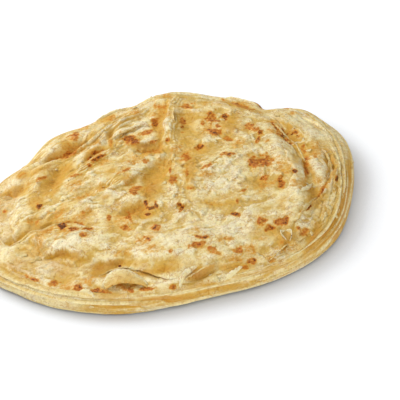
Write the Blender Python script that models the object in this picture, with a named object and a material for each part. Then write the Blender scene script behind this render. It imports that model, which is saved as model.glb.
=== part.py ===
"""A pan-fried flaky flatbread: a rope of thin dough layers coiled round, rolled flat, fried and fluffed up.

It is one closed solid, which rests on its flat underside. Metres, +Z up. The origin is the middle of the
underside, on the table. +X is the side where the layers stand highest, and -Y is the front.

An inner disc fills most of the upper face. The last wrap of the rope lies round it: a crescent that is
broad on the right and thin at the back, and whose layers run over the rim and down to the table.
"""

import math

import bmesh
import bpy
import numpy as np
from mathutils import Vector, noise

MM = 0.001

# Driving sizes
BREAD_RADIUS = 99 * MM  # mean radius of the outline
EDGE_HEIGHT = 13 * MM  # mean height of the last wrap
EDGE_TILT = 2.5 * MM  # the wrap is this much higher on the right, and lower on the left
DOME_RISE = 4 * MM  # how far the middle stands over the edge of the inner disc
FOOT_INSET = 8 * MM  # how far in from the outline the bread meets the table
FOOT_CLEARANCE = 1.2 * MM  # how far the lowest layer's edge stays over the table
COIL_CENTRE = (-0.7 * MM, -4.4 * MM, 0)  # every direction, radius and place below is taken from here

# The edge of the inner disc
DISC_RADIUS = 85 * MM
DISC_LIFT = 2.2 * MM  # how far the disc stands over the wrap beside it
DISC_EDGE = 3.5 * MM  # how far in from its edge the disc starts to turn down
EDGE_DROP = 1.3 * MM  # how far it turns down there, beside the open gap
MERGE_WIDTH = 8 * MM  # where the gap is shut the disc runs down into the wrap over this width
MERGE_DROP = 2.5 * MM
GAP_WIDTH = 1.2 * MM
GAP_DEPTH = 2.6 * MM  # depth of the gap between the disc and the wrap, where it is deepest
WRAP_WIDTH = 6 * MM  # the wrap is nowhere narrower

# The layers of the wrap
LEAVES = 5
LEAF_GROOVE = 1.7 * MM  # how deep the grooves between the layers are
LEAF_SWAY = 0.9 * MM  # how much each layer wanders in and out
RIM_SQUARENESS = 2.5  # of the wrap's cross-section: 2 is an ellipse, more is boxier

# Low bumps all over the upper face
BUMP_HEIGHT = 1.6 * MM
BUMP_SPACING = 17 * MM

# Mesh fineness
DISC_CELLS = 46

# Where the outline swells or draws in: (direction in degrees, half width in degrees, amount)
OUTLINE_LOBES = (
    (14, 26, 8 * MM),
    (33, 8, 2.5 * MM),
    (45, 5, -9 * MM),
    (87, 13, 5.5 * MM),
    (98, 5, -2 * MM),
    (111, 5, 1 * MM),
    (117, 7, -4 * MM),
    (133, 6, 2 * MM),
    (149, 7, -4 * MM),
    (170, 14, 6 * MM),
    (-152, 8, 5 * MM),
    (-145, 26, 7 * MM),
    (-83, 19, -5 * MM),
    (-38, 20, 5 * MM),
)

# The same for the height of the last wrap, which rises at the back
CREST_LOBES = (
    (87, 13, 2.7 * MM),
    (98, 6, -1.2 * MM),
)

# The same for the edge of the inner disc, which nears the rim at the back
DISC_LOBES = (
    (9, 24, -11 * MM),
    (-54, 26, 11 * MM),
    (-112, 15, -7 * MM),
    (-90, 8, 4 * MM),
    (-172, 18, 6 * MM),
    (136, 14, -12 * MM),
    (84, 26, 12 * MM),
)

# Where the gap beside the disc opens: (direction, half width, share of GAP_DEPTH)
GAP_STRETCHES = (
    (26, 12, 0.6),
    (4, 10, 0.3),
    (-96, 12, 0.7),
    (138, 14, 0.6),
)

# Where the disc's edge lies level with the wrap: (direction, half width, share of DISC_LIFT taken away)
FLUSH_STRETCHES = ((14, 24, 0.9),)

# Folds of the upper face. Each is an arc through three points (mm), with its half width and its
# height, below zero for a valley.
FOLDS = {
    "outer_left_roll": (((-88, 24), (-70, 52), (-47, 67)), 7 * MM, 3.2 * MM),
    "outer_left_valley": (((-98, 11), (-88, 17), (-79, 22)), 4 * MM, -2.8 * MM),
    "puff_valley": (((-73, 45), (-58, 48), (-38, 64)), 4.5 * MM, -2.9 * MM),
    "left_ruffle": (((-84, 22), (-76, 29), (-64, 36)), 5 * MM, 1.6 * MM),
    "left_valley": (((-59, 36), (-63, 15), (-75, -3)), 5 * MM, -4.8 * MM),
    "left_dome": (((-79, 3), (-72, 9), (-68, 16)), 6 * MM, 3.0 * MM),
    "back_left_ridge": (((-57, 33), (-31, 57), (2, 88)), 4.5 * MM, 3.8 * MM),
    "tongue_pleat": (((-56, 23), (-44, 35), (-32, 48)), 4.5 * MM, 2.4 * MM),
    "inner_left_ridge": (((-52, 16), (-40, 26), (-24, 33)), 4.5 * MM, 1.8 * MM),
    "back_dent": (((-20, 33), (-10, 29), (1, 32)), 5 * MM, -1.6 * MM),
    "back_seam": (((14, 92), (6, 50), (5, 6)), 4.5 * MM, 1.2 * MM),
    "back_trough": (((18, 84), (15, 54), (18, 20)), 7 * MM, -2.2 * MM),
    "middle_valley": (((2, 17), (-9, 6), (-17, -5)), 8 * MM, -5.0 * MM),
    "hump_foot": (((-26, -26), (-18, -25), (-9, -20)), 5 * MM, -3.6 * MM),
    "pale_hump": (((-27, -14), (-20, -14), (-13, -12)), 4 * MM, 2.4 * MM),
    "middle_ridge": (((-62, -16), (-38, -13), (-20, 3)), 4.5 * MM, 2.8 * MM),
    "inner_left_dip": (((-50, -3), (-38, -4), (-28, -2)), 4.5 * MM, -1.8 * MM),
    "front_left_valley": (((-96, -28), (-76, -22), (-56, -22)), 5 * MM, -4.4 * MM),
    "front_left_ridge": (((-88, -37), (-60, -42), (-34, -50)), 5 * MM, 2.6 * MM),
    "front_left_hollow": (((-60, -58), (-56, -66), (-50, -76)), 8 * MM, -3.0 * MM),
    "seam_hollow": (((-44, -66), (-36, -71), (-27, -71)), 4 * MM, -3.0 * MM),
    "seam_pocket": (((1, -90), (9, -86), (20, -82)), 3.5 * MM, -2.6 * MM),
    "front_swell": (((-18, -62), (6, -68), (36, -60)), 12 * MM, 2.6 * MM),
    "pale_swirl": (((6, -20), (26, -2), (44, 4)), 8 * MM, 1.6 * MM),
    "right_dent": (((46, -12), (50, -20), (54, -30)), 6 * MM, -2.0 * MM),
    "right_ridge": (((66, 6), (69, -30), (62, -58)), 4.5 * MM, 1.6 * MM),
    "crescent_ridge": (((70, 50), (84, 20), (84, -20)), 4.5 * MM, 1.2 * MM),
    "wrap_valley": (((90, 10), (92, -8), (86, -30)), 3.5 * MM, -2.0 * MM),
    "front_wrap_valley": (((84, -48), (74, -68), (58, -84)), 3.5 * MM, -1.6 * MM),
}
FOLD_STEPS = 12  # pieces that an arc is measured in
FOLD_END = 0.15  # share of its height that a fold still has at its ends

# The slow wave of the wrap's height: (waves round the bread, where it starts in radians, height)
CREST_WAVE = (3, 0.6, 0.7 * MM)
FOOT_SHARE = 0.6  # how far round the foot's curve runs, as a share of FOOT_INSET
# Each layer of the wrap: share of the way down it, and share of the groove's depth there
LEAF_PROFILE = ((0.0, 1.0), (0.35, 0.2), (0.8, 0.0))
# The rings under the bread: how far in from the outline, and their height
UNDERSIDE_RINGS = ((5 * MM, 0.6 * MM), (9 * MM, 0.0))

CRUST_COLOR = (0.80, 0.61, 0.30, 1.0)
CRUST_ROUGHNESS = 0.55


def swell(angle, lobes):
    """The lobes' joint amount in each direction, as smooth humps round the circle."""
    total = np.zeros_like(angle)
    for direction, half_width, amount in lobes:
        turn = (np.degrees(angle) - direction + 180) % 360 - 180
        total += amount * np.exp(-((turn / half_width) ** 2))
    return total


def ramp(values):
    """0 below 0, 1 above 1 and a smooth rise between."""
    share = np.clip(values, 0, 1)
    return share * share * (3 - 2 * share)


def outline_radius(angle):
    return BREAD_RADIUS + swell(angle, OUTLINE_LOBES)


def disc_radius(angle):
    return np.minimum(DISC_RADIUS + swell(angle, DISC_LOBES), outline_radius(angle) - WRAP_WIDTH)


def wrap_height(angle):
    """Height of the last wrap's crest, with a slow wave."""
    waves, start, height = CREST_WAVE
    rise = height * np.sin(waves * angle + start) + swell(angle, CREST_LOBES)
    return EDGE_HEIGHT + EDGE_TILT * np.cos(angle) + rise


def arc_points(start, middle, end):
    """Points along the smooth arc that passes through three points."""
    start, middle, end = (np.array(point, float) * MM for point in (start, middle, end))
    pull = 2 * middle - (start + end) / 2
    t = np.linspace(0, 1, FOLD_STEPS + 1)[:, None]
    return (1 - t) ** 2 * start + 2 * t * (1 - t) * pull + t**2 * end


def fold_relief(x, y):
    """All the folds' joint height over each point. A fold tapers towards its ends."""
    total = np.zeros_like(x)
    for path, half_width, height in FOLDS.values():
        line = arc_points(*path)
        nearness = np.zeros_like(x)
        for step, (a, b) in enumerate(zip(line[:-1], line[1:])):
            run = b - a
            share = np.clip(((x - a[0]) * run[0] + (y - a[1]) * run[1]) / (run @ run), 0, 1)
            away = np.hypot(x - a[0] - share * run[0], y - a[1] - share * run[1])
            taper = FOLD_END + (1 - FOLD_END) * np.sin(math.pi * (step + share) / FOLD_STEPS)
            nearness = np.maximum(nearness, taper * np.exp(-((away / half_width) ** 2)))
        total += height * nearness
    return total


def bump_relief(x, y):
    spots = [Vector((a, b, 0)) / BUMP_SPACING for a, b in zip(x, y)]
    return BUMP_HEIGHT * np.array([noise.noise(spot) for spot in spots])


def relief(radius, angle):
    x, y = radius * np.cos(angle), radius * np.sin(angle)
    return fold_relief(x, y) + bump_relief(x, y)


def disc_height(radius, angle):
    """Height of the inner disc over the table."""
    edge = disc_radius(angle)
    share = radius / edge
    slant = (wrap_height(angle) - EDGE_HEIGHT) * share**2
    dome = DOME_RISE * (1 - share**3)
    opening = np.clip(swell(angle, GAP_STRETCHES), 0, 1)
    turn_down = 1 - ramp((edge - radius) / DISC_EDGE)
    merge = 1 - ramp((edge - radius) / MERGE_WIDTH)
    drop = opening * EDGE_DROP * turn_down + (1 - opening) * MERGE_DROP * merge
    flush = swell(angle, FLUSH_STRETCHES)
    drop = drop + flush * (merge * DISC_LIFT - drop)
    return EDGE_HEIGHT + slant + DISC_LIFT + dome + relief(radius, angle) - drop


def wrap_place(angle, share, rise):
    """A ring of the last wrap: radius and height at a share of the way from the disc to the table.

    The cross-section is two quarters of a rounded box: from the disc over the crest to the outermost
    line, and from there in to the table. rise lifts the ring out of that section, square to it.
    """
    inner, outer, height = disc_radius(angle) + GAP_WIDTH, outline_radius(angle), wrap_height(angle)
    upper = outer - inner + height / 2
    upper_share = upper / (upper + FOOT_SHARE * FOOT_INSET + height / 2)
    over = share < upper_share
    turn = np.where(over, 1 - share / upper_share, (upper_share - share) / (1 - upper_share)) * math.pi / 2
    width = np.where(over, outer - inner, FOOT_INSET)
    out = np.cos(turn) ** (2 / RIM_SQUARENESS)
    up = np.sign(turn) * np.abs(np.sin(turn)) ** (2 / RIM_SQUARENESS)
    radius = outer - width * (1 - out) + rise * np.cos(turn)
    fade = np.where(over, np.sin(turn), 0) * ramp((outer - radius) / WRAP_WIDTH)
    level = height / 2 * (1 + up) + rise * np.sin(turn) + fade * relief(radius, angle)
    return radius, np.maximum(level, FOOT_CLEARANCE)


def leaf_rise(angle, leaf):
    """How far a layer of the wrap stands in or out. It wanders along the rim, each layer in its own way."""
    slow = np.sin((2 + leaf) * angle + 2 * leaf)
    quick = np.sin((5 + 2 * leaf) * angle + leaf)
    return LEAF_SWAY * (slow + quick / 2) / 2


def grid_to_disc(a, b):
    """Share of the radius, and direction, of a point of a square grid laid over a disc."""
    share = np.maximum(np.abs(a), np.abs(b))
    wide = np.abs(a) >= np.abs(b)
    with np.errstate(divide="ignore", invalid="ignore"):
        angle = np.where(wide, b / a, 2 - a / b) * math.pi / 4
    angle = np.where(np.where(wide, a, b) < 0, angle + math.pi, angle)
    return share, np.where(share > 0, angle, 0.0)


def make_disc(bm):
    """The inner disc: a square grid laid over a circle, drawn out to the disc's edge, and lifted."""
    bmesh.ops.create_grid(bm, x_segments=DISC_CELLS, y_segments=DISC_CELLS, size=1.0)
    flat = np.array([vertex.co[:2] for vertex in bm.verts])
    share, angle = grid_to_disc(np.round(flat[:, 0], 6), np.round(flat[:, 1], 6))
    radius = share * disc_radius(angle)
    for vertex, r, a, z in zip(bm.verts, radius, angle, disc_height(radius, angle)):
        vertex.co = (r * math.cos(a), r * math.sin(a), z)


def extrude_ring(bm, place):
    """Extrudes the open edge, and moves its points to the radius and height that place(angle) gives."""
    rim = [edge for edge in bm.edges if edge.is_boundary]
    made = bmesh.ops.extrude_edge_only(bm, edges=rim)["geom"]
    ring = [item for item in made if isinstance(item, bmesh.types.BMVert)]
    angle = np.array([math.atan2(vertex.co.y, vertex.co.x) for vertex in ring])
    for vertex, a, r, z in zip(ring, angle, *place(angle)):
        vertex.co = (r * math.cos(a), r * math.sin(a), z)


def make_wrap(bm):
    """The last wrap: the gap beside the disc, then each layer's groove, back and nose."""
    extrude_ring(bm, lambda angle: wrap_place(angle, 0.0, -GAP_DEPTH * swell(angle, GAP_STRETCHES)))
    for leaf in range(LEAVES):
        for down, groove in LEAF_PROFILE:
            share = (leaf + down) / LEAVES
            if share > 0:
                extrude_ring(
                    bm,
                    lambda angle: wrap_place(angle, share, leaf_rise(angle, leaf) - groove * LEAF_GROOVE),
                )


def make_underside(bm):
    """The foot ring, a little over the table, and the flat underside."""
    for inset, height in UNDERSIDE_RINGS:
        extrude_ring(bm, lambda angle: (outline_radius(angle) - inset, np.full_like(angle, height)))
    bmesh.ops.contextual_create(bm, geom=[edge for edge in bm.edges if edge.is_boundary])


def crust_material():
    material = bpy.data.materials.new("fried_dough")
    material.use_nodes = True
    shader = material.node_tree.nodes["Principled BSDF"]
    shader.inputs["Base Color"].default_value = CRUST_COLOR
    shader.inputs["Roughness"].default_value = CRUST_ROUGHNESS
    return material


def make_bread():
    bm = bmesh.new()
    make_disc(bm)
    make_wrap(bm)
    make_underside(bm)
    bmesh.ops.translate(bm, verts=bm.verts, vec=COIL_CENTRE)
    bmesh.ops.recalc_face_normals(bm, faces=bm.faces)
    mesh = bpy.data.meshes.new("chapati")
    bm.to_mesh(mesh)
    bm.free()
    mesh.materials.append(crust_material())
    mesh.shade_smooth()
    bread = bpy.data.objects.new("chapati", mesh)
    bpy.context.collection.objects.link(bread)
    return bread


def main():
    for old in list(bpy.data.objects):
        bpy.data.objects.remove(old)
    make_bread()


main()
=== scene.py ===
# A flaky pan-fried flatbread: the looks. Sizes are in millimetres in this file, and mm turns them to metres.
import math

import bmesh
import bpy
import numpy as np
from mathutils import Matrix, Vector


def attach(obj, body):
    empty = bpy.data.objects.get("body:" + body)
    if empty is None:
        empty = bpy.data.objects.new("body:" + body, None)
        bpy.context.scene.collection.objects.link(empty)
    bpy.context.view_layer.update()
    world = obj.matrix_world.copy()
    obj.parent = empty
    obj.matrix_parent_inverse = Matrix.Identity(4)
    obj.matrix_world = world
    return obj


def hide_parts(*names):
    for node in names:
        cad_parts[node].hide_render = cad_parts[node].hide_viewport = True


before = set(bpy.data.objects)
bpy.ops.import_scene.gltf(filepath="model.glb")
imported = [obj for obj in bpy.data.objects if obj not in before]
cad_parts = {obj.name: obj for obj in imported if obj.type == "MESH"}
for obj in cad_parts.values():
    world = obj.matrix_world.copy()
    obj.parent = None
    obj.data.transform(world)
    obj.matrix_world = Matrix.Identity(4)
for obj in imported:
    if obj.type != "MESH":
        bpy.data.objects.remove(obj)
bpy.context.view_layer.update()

mm = 0.001

cameraSpec = {
    "aim": (16.3, -19.4, 8.0),  # the point in the middle of the picture
    "distance": 610.0,
    "elevation": 34.0,  # degrees over the horizon
    "roll": 8.5,  # the camera leans to its right, so the bread's right side looks higher
    "lens": 100.0,
    "sensor": 36.0,
    "pixels": 400,  # the picture is square
}

# The bread's form. Lobes are (direction in degrees, half width in degrees, amount).
breadSpec = {
    "centre": (-0.7, -4.4),  # the coil's centre: every place and radius is taken from here
    "radius": 99.0,
    "edgeHeight": 13.0,
    "edgeTilt": 2.5,
    "domeRise": 4.0,
    "footInset": 8.0,
    "footClearance": 1.2,
    "discRadius": 85.0,
    "discLift": 2.2,
    "discEdge": 2.4,
    "edgeDrop": 1.3,
    "mergeWidth": 8.0,  # where the gap is shut the disc runs down into the last wrap over this width
    "mergeDrop": 2.5,
    "gapWidth": 0.9,
    "gapDepth": 1.5,
    "tuck": 0.8,  # how far the last wrap reaches under the disc where the gap is shut
    "wrapWidth": 6.0,
    "squareness": 2.5,
    "footSquareness": 4.5,
    "outlineLobes": (
        (14, 26, 8), (33, 8, 2.5), (45, 5, -9), (87, 13, 5.5), (98, 5, -2), (111, 5, 1), (117, 7, -4),
        (133, 6, 2), (149, 7, -4), (170, 14, 6), (-152, 8, 5), (-145, 26, 7), (-83, 19, -5), (-38, 20, 5),
    ),
    "crestLobes": ((87, 13, 2.7), (98, 6, -1.2)),  # where the wrap stands higher
    "crestWave": 0.7,  # and how far its crest rises and falls three times round the bread
    "discLobes": (
        (9, 24, -11), (-54, 26, 11), (-112, 15, -7), (-90, 8, 4), (-172, 18, 6), (136, 14, -12), (84, 26, 12),
    ),
    "gapStretches": ((26, 9, 0.45), (4, 8, 0.25), (-99, 9, 0.45), (138, 14, 0.4)),
    "flushStretches": ((14, 24, 1.0),),  # where the disc's edge lies level with the last wrap
    "discCells": 296,  # mesh cells across the inner disc
    "roundSteps": 1160,  # mesh cells round the last wrap
    "leaves": 11,  # thin layers that show round the rim
    "leafGroove": 0.6,
    "leafSway": 0.7,
    "leafWander": 0.85,
    "wallTop": 11.0,  # below this height the rim's wall is oilier
    "wallFoot": 3.5,  # and below this one dry and pale
    "wrapFineness": 0.75,  # how much of the crust's fine relief the last wrap has
}

# Folds: arcs through three points, then half width, height, how oily and how toasted the dough is there.
# In the valleys this golden and brown colour is partly painted shade.
folds = {
    "outerLeftRoll": (((-88, 24), (-70, 52), (-47, 67)), 7, 3.2, 0, 0),
    "outerLeftValley": (((-98, 11), (-88, 17), (-79, 22)), 4, -2.8, 0.9, 0.1),
    "puffValley": (((-73, 45), (-58, 48), (-38, 64)), 4.5, -2.9, 1.0, 0.42),
    "leftRuffle": (((-84, 22), (-76, 29), (-64, 36)), 5, 1.6, 0, 0),
    "leftValley": (((-59, 36), (-63, 15), (-75, -3)), 5, -4.0, 1.0, 0.2),
    "leftDome": (((-79, 3), (-72, 9), (-68, 16)), 6, 3.0, 0, 0),
    "backLeftRidge": (((-57, 33), (-31, 57), (2, 88)), 4.5, 3.8, 0, 0),
    "tongueCrease": (((-55, 31), (-41, 45), (-27, 59)), 1.8, -1.8, 0.3, 0),
    "tonguePleat": (((-56, 23), (-44, 35), (-32, 48)), 4.5, 2.4, 0, 0),
    "tongueEnd": (((-28, 59), (-29, 52), (-32, 45)), 2.0, -2.4, 1.0, 0.3),
    "innerSlitFloor": (((-47, 25), (-40, 34), (-30, 39)), 2.6, -0.8, 0.9, 0.35),
    "innerLeftRidge": (((-52, 16), (-40, 26), (-24, 33)), 4.5, 1.8, 0, 0),
    "backSpotRidge": (((-28, 50), (-16, 55), (-3, 64)), 3.0, 1.6, 0, 0),
    "outerBackGroove": (((-48, 68), (-26, 78), (0, 92)), 2.4, -1.6, 0.5, 0),
    "backDent": (((-16, 32), (-8, 29), (2, 30)), 3.6, -3.2, 1.0, 0.42),
    "backSeam": (((14, 92), (6, 50), (5, 6)), 4.5, 1.2, 0, 0),
    "seamLeftFoot": (((3, 76), (-1, 57), (-2, 36)), 3.0, -1.6, 0.8, 0.15),
    "backTrough": (((18, 84), (15, 54), (18, 20)), 7, -2.2, 0.4, 0.05),
    "middleValley": (((3, 17), (-5, 3), (-12, -11)), 7, -3.2, 0.8, 0.2),
    "humpFoot": (((-27, -28), (-19, -29), (-10, -26)), 4.5, -3.4, 1.0, 0.34),
    "paleHump": (((-25, -20), (-18, -19), (-12, -23)), 4, 2.6, 0, 0),
    "middleRidge": (((-62, -16), (-38, -13), (-20, 3)), 4.5, 2.8, 0, 0),
    "innerLeftDip": (((-50, -3), (-38, -4), (-28, -2)), 4.5, -1.8, 0.4, 0),
    "frontLeftValley": (((-94, -32), (-76, -27), (-57, -23)), 4.5, -3.0, 0.7, 0.1),
    "frontLeftRidge": (((-88, -37), (-60, -42), (-34, -50)), 5, 2.6, 0, 0),
    "lipFloor": (((-82, -40), (-74, -44), (-64, -50)), 3.5, -2.4, 0.6, 0.15),
    "frontLeftHollow": (((-60, -58), (-56, -66), (-50, -76)), 8, -3.0, 0.35, 0),
    "seamHollow": (((-44, -66), (-36, -71), (-27, -71)), 4, -3.0, 1.0, 0.15),
    "seamPocket": (((3, -94), (11, -90), (22, -86)), 2.6, -2.6, 1.0, 0.25),
    "pocketFoot": (((12, -95), (19, -93), (29, -89)), 2.0, 1.0, 0, 0),
    "frontSwell": (((-18, -62), (6, -68), (36, -60)), 12, 2.6, 0, 0),
    "paleSwirl": (((6, -20), (26, -2), (44, 4)), 8, 1.6, 0, 0),
    "oliveDent": (((46, -12), (50, -20), (54, -30)), 6, -2.0, 0.3, 0),
    "yellowStreak": (((10, -38), (28, -32), (46, -26)), 3.5, -1.4, 0.4, 0),
    "rightRidge": (((66, 6), (69, -30), (62, -58)), 4.5, 1.6, 0, 0),
    "wrapValley": (((91, 8), (92, -8), (87, -24)), 2.2, -2.0, 1.0, 0.1),
    "crescentFoot": (((74, -22), (78, -34), (78, -46)), 3.6, -1.8, 0.9, 0.1),
    "crescentRidge": (((70, 50), (84, 20), (84, -20)), 4.5, 1.2, 0, 0),
    "frontWrapValley": (((79, -56), (72, -69), (63, -83)), 2.2, -1.8, 1.0, 0),
}
foldSteps = 12

# Torn edges of layers: arcs whose left side stands higher. Then the step, how far it reaches back,
# and how golden its foot is: partly fat, partly painted shade under the step.
lips = {
    "frontLeftEdge": (((-38, -40), (-58, -32), (-86, -30)), 2.2, 8, 0.7),
    "shortEdge": (((-84, -35), (-74, -39), (-64, -47)), 2.2, 7, 0.5),
    "hollowEdge": (((-72, -49), (-57, -54), (-38, -67)), 4.2, 6, 0.9),
    "seamEdge": (((-42, -64), (-33, -67), (-24, -70)), 2.4, 6, 0.9),
    "wedgeEdge": (((-20, 38), (-10, 35.5), (0, 33.5)), 3.0, 7, 1.0),
    "seamLip": (((12, 92), (4, 62), (1, 28)), 1.0, 8, 0.7),
    "puffEdge": (((-74, 45), (-58, 49), (-40, 64)), 2.2, 8, 1.0),
    "pocketLip": (((2, -92), (10, -87.5), (23, -83)), 1.8, 5, 1.0),
    "windowInner": (((86, -26), (90, -8), (88, 8)), 1.5, 3, 1.0),
    "rightCrease": (((95, 10), (88, -25), (62, -62)), 2.0, 4, 1.0),
    "foldEdge": (((76, 4), (80, -14), (80, -30)), 1.0, 5, 0.8),
    "brightEdge": (((46, -86), (53, -79), (60, -70)), 1.6, 4, 0.4),
    "slitEdge": (((-50, 22), (-42, 32), (-31, 39)), 1.0, 6, 0.8),
    "backSpotEdge": (((-30, 44), (-22, 50), (-8, 58)), 1.6, 6, 0.5),
    "middleEdge": (((-30, -12), (-20, -2), (-9, 9)), 1.6, 7, 0.6),
    "centreEdge": (((24, -22), (40, 2), (58, 10)), 0.5, 10, 0.2),
    "frontTearEdge": (((-20, -50), (2, -54), (26, -44)), 0.5, 10, 0.2),
    "rightTearEdge": (((62, -32), (50, -40), (30, -36)), 0.5, 9, 0.2),
    "leafSliver": (((70, -56), (80, -40), (89, -26)), 1.8, 6, 0.7),
    "crescentEdge": (((94, -22), (97, -8), (94, 6)), 1.6, 5, 0.8),
}

# Bundles of fine pleats that run along an arc: then the bundle's half width, the pleats' spacing and height.
pleats = {
    "backLeftPleats": (((-62, 26), (-34, 57), (0, 88)), 9, 4.8, 0.65),
    "outerRollPleats": (((-92, 30), (-76, 56), (-50, 72)), 9, 5.4, 0.3),
    "innerPleats": (((-60, 6), (-42, 24), (-20, 40)), 5, 4.2, 0.35),
    "seamPleats": (((14, 94), (6, 58), (4, 22)), 6, 4.4, 0.35),
    "frontLeftPleats": (((-92, -30), (-62, -34), (-30, -44)), 6, 5.0, 0.3),
    "middlePleats": (((-60, -12), (-40, -8), (-18, 8)), 5, 4.4, 0.25),
    "rightPleats": (((62, 50), (75, 24), (80, -12)), 7, 4.6, 0.5),
    "outerStrands": (((98, 14), (95, -36), (54, -90)), 8, 3.4, 0.45),
    "frontStrands": (((60, -84), (36, -95), (8, -98)), 5, 3.2, 0.35),
}

# Narrow cracks and creases: arcs, then half width, depth and how toasted the crack is; the brown in a crack
# is partly painted shade.
cracks = {
    "rightCrack": (((77, 14), (78, -5), (75, -25)), 1.3, 1.4, 0.8),
    "wrapSliver": (((67, 39), (74, 28), (81, 21)), 1.2, 1.4, 1.0),
    "rightSliver": (((65, 37), (71, 22), (75, 5)), 1.0, 1.2, 0.95),
    "creaseLine": (((90, -16), (79, -38), (63, -61)), 1.0, 0.9, 1.0),
    "frontLeftSlit": (((-62, -27), (-52, -31), (-42, -36)), 1.4, 1.6, 0.9),
    "puffSlit": (((-68, 45), (-58, 47), (-50, 53)), 1.3, 1.0, 0.6),
    "innerSlit": (((-46, 25), (-40, 33), (-32, 38)), 1.2, 0.6, 0.9),
    "seamCrease": (((14, 90), (9, 76), (7, 60)), 0.8, 0.5, 0.2),
    "seamCreaseFront": (((4, 46), (3, 30), (5, 10)), 0.8, 0.6, 0.35),
    "wedgeCrack": (((-17, 34), (-8, 31), (2, 31)), 1.5, 1.8, 0.6),
}

# Browned spots, read off the photo: the pixel, counted from the picture's left and top, then half
# width, half height and turn (mm and degrees, as seen), and how dark the spot is.
brownedAndShadeSpots = (
    # the first spot here, under the front flap, is painted shadow
    (126, 286, 9, 1.3, 2, 0.42), (181, 279, 0.8, 0.7, 0, 1.1), (120, 266, 0.9, 0.7, 0, 1.2),
    (276, 128, 3, 0.6, -50, 0.8), (283, 137, 4, 0.7, -35, 0.75), (293, 131, 3.5, 0.6, -25, 0.7),
    (303, 148, 0.9, 3, -10, 0.7), (306, 170, 0.8, 5, 0, 0.6), (187, 106, 3.5, 1.5, 10, 0.6),
    (183, 121, 2, 2, 0, 0.6), (182, 127, 1, 0.8, 0, 0.9), (211, 118, 3, 3, 0, 0.62),
    (209, 115, 2, 0.7, 50, 0.9), (203, 123, 1, 1.5, 0, 0.6), (226, 117, 2, 1.6, -30, 1),
    (215, 132, 4, 1.8, 0, 0.74), (217, 126, 1.5, 1, 0, 0.65), (228, 139, 2.2, 1.6, 0, 0.6),
    (199, 148, 2.5, 2, 0, 0.68), (228, 154, 2.8, 1.2, 10, 0.75), (185, 157, 3, 2.4, 0, 0.6),
    (206, 166, 3, 0.8, 30, 0.65), (251, 128, 3.2, 2, 0, 0.6), (250, 129, 1, 0.8, 30, 0.9),
    (261, 133, 1.4, 1.4, 0, 0.8), (257, 141, 2.2, 1, 60, 0.88), (261, 161, 6, 3, 0, 0.64),
    (272, 160, 1.5, 0.8, -30, 0.6), (264, 178, 2.4, 1.2, 10, 0.8), (281, 182, 1.8, 3.2, 0, 0.7),
    (295, 171, 1.2, 1, 0, 0.95), (237, 201, 1, 1.3, 0, 0.75), (244, 190, 2, 0.7, 40, 0.55),
    (234, 214, 3, 1, 0, 0.76), (261, 221, 2.6, 2.2, 30, 0.7), (282, 221, 4.2, 2.4, 0, 0.74),
    (270, 228, 2.8, 2, 20, 0.64), (187, 174, 0.9, 3, 0, 0.55), (189, 188, 2, 1, 0, 0.5),
    (170, 170, 0.7, 2, 0, 0.8), (172, 180, 1.8, 2.2, -40, 0.6), (168, 140, 1.2, 1, 30, 0.65),
    (179, 204, 1.4, 1, -30, 0.88), (182, 208, 2, 0.7, 50, 0.75), (206, 237, 1.6, 0.9, 0, 1),
    (199, 237, 2, 0.8, -20, 0.6), (227, 238, 2, 1.2, 0, 0.45), (197, 244, 4.5, 1.5, 0, 0.54),
    (214, 251, 3, 2, -20, 0.5), (238, 250, 2.8, 1.8, 10, 0.64), (271, 260, 2.5, 1.5, 0, 0.42),
    (251, 261, 2.2, 2.2, 0, 0.66), (245, 267, 2, 1.2, 10, 0.62), (304, 233, 3.2, 1.8, 35, 0.58),
    (171, 251, 0.9, 0.8, 0, 0.85), (155, 228, 2.2, 1.8, 0, 0.64), (147, 238, 2.5, 0.8, -30, 0.6),
    (298, 228, 0.9, 0.8, 0, 0.9), (315, 155, 2, 1.5, 0, 0.38), (337, 179, 0.9, 1.6, 0, 0.95),
    (263, 107, 2.5, 1, -20, 1), (290, 107, 2.5, 0.8, 0, 0.7), (241, 106, 8, 0.8, -18, 0.5),
    (75, 136, 3, 1.5, 20, 0.58), (111, 118, 2.5, 1.5, 30, 0.42), (68, 155, 4.5, 1.5, 33, 0.62),
    (98, 158, 4, 1.2, 30, 0.88), (90, 166, 1.2, 1.5, 60, 0.62), (76, 175, 3.5, 0.9, 8, 0.62),
    (125, 170, 3.5, 1, 25, 0.66), (130, 139, 4.5, 2.2, -15, 0.74), (147, 132, 5, 0.9, 20, 0.6),
    (155, 121, 1.8, 3, -20, 0.7), (153, 142, 2.5, 1.2, 10, 0.55), (111, 143, 1, 2.5, 0, 0.5),
    (146, 161, 1.5, 1, 20, 0.5), (38, 206, 1.8, 1.5, 0, 0.88), (42, 178, 3.5, 1, 30, 0.5),
    (22, 174, 3, 0.8, 30, 0.5), (5, 211, 1.5, 1, 0, 0.55), (136, 190, 2.8, 2, 20, 0.64),
    (146, 203, 1.2, 1.4, 0, 1.1), (150, 208, 2.4, 1, 0, 1), (156, 205, 0.9, 2, 20, 0.8),
    (147, 214, 1.5, 0.9, 10, 1), (129, 217, 1.5, 3, 30, 0.65), (109, 218, 1.2, 1.5, -20, 0.7),
    (126, 228, 2.2, 1.5, 0, 0.56), (83, 215, 1.5, 2, 0, 0.45), (61, 226, 3, 1.6, -10, 0.98),
    (73, 229, 2.5, 1.2, 0, 0.8), (88, 229, 3, 0.7, 0, 0.8), (84, 234, 2.5, 1.6, 0, 0.62),
    (6, 273, 2, 1.5, 0, 0.7), (33, 279, 3.5, 0.9, -20, 0.6), (55, 283, 2.8, 1.5, 0, 0.6),
    (78, 287, 3.2, 1.5, -10, 0.62), (98, 291, 4.5, 1.6, -5, 0.68), (110, 293, 2.5, 1, -10, 0.6),
    (128, 289, 2.5, 1.2, -20, 0.62), (147, 289, 3.5, 1, 0, 0.6), (173, 287, 2, 1.4, 20, 0.62),
    # this spot is painted shade in the wedge under a torn layer
    (152, 151.5, 5, 1.2, 8, 0.42),
)
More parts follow.
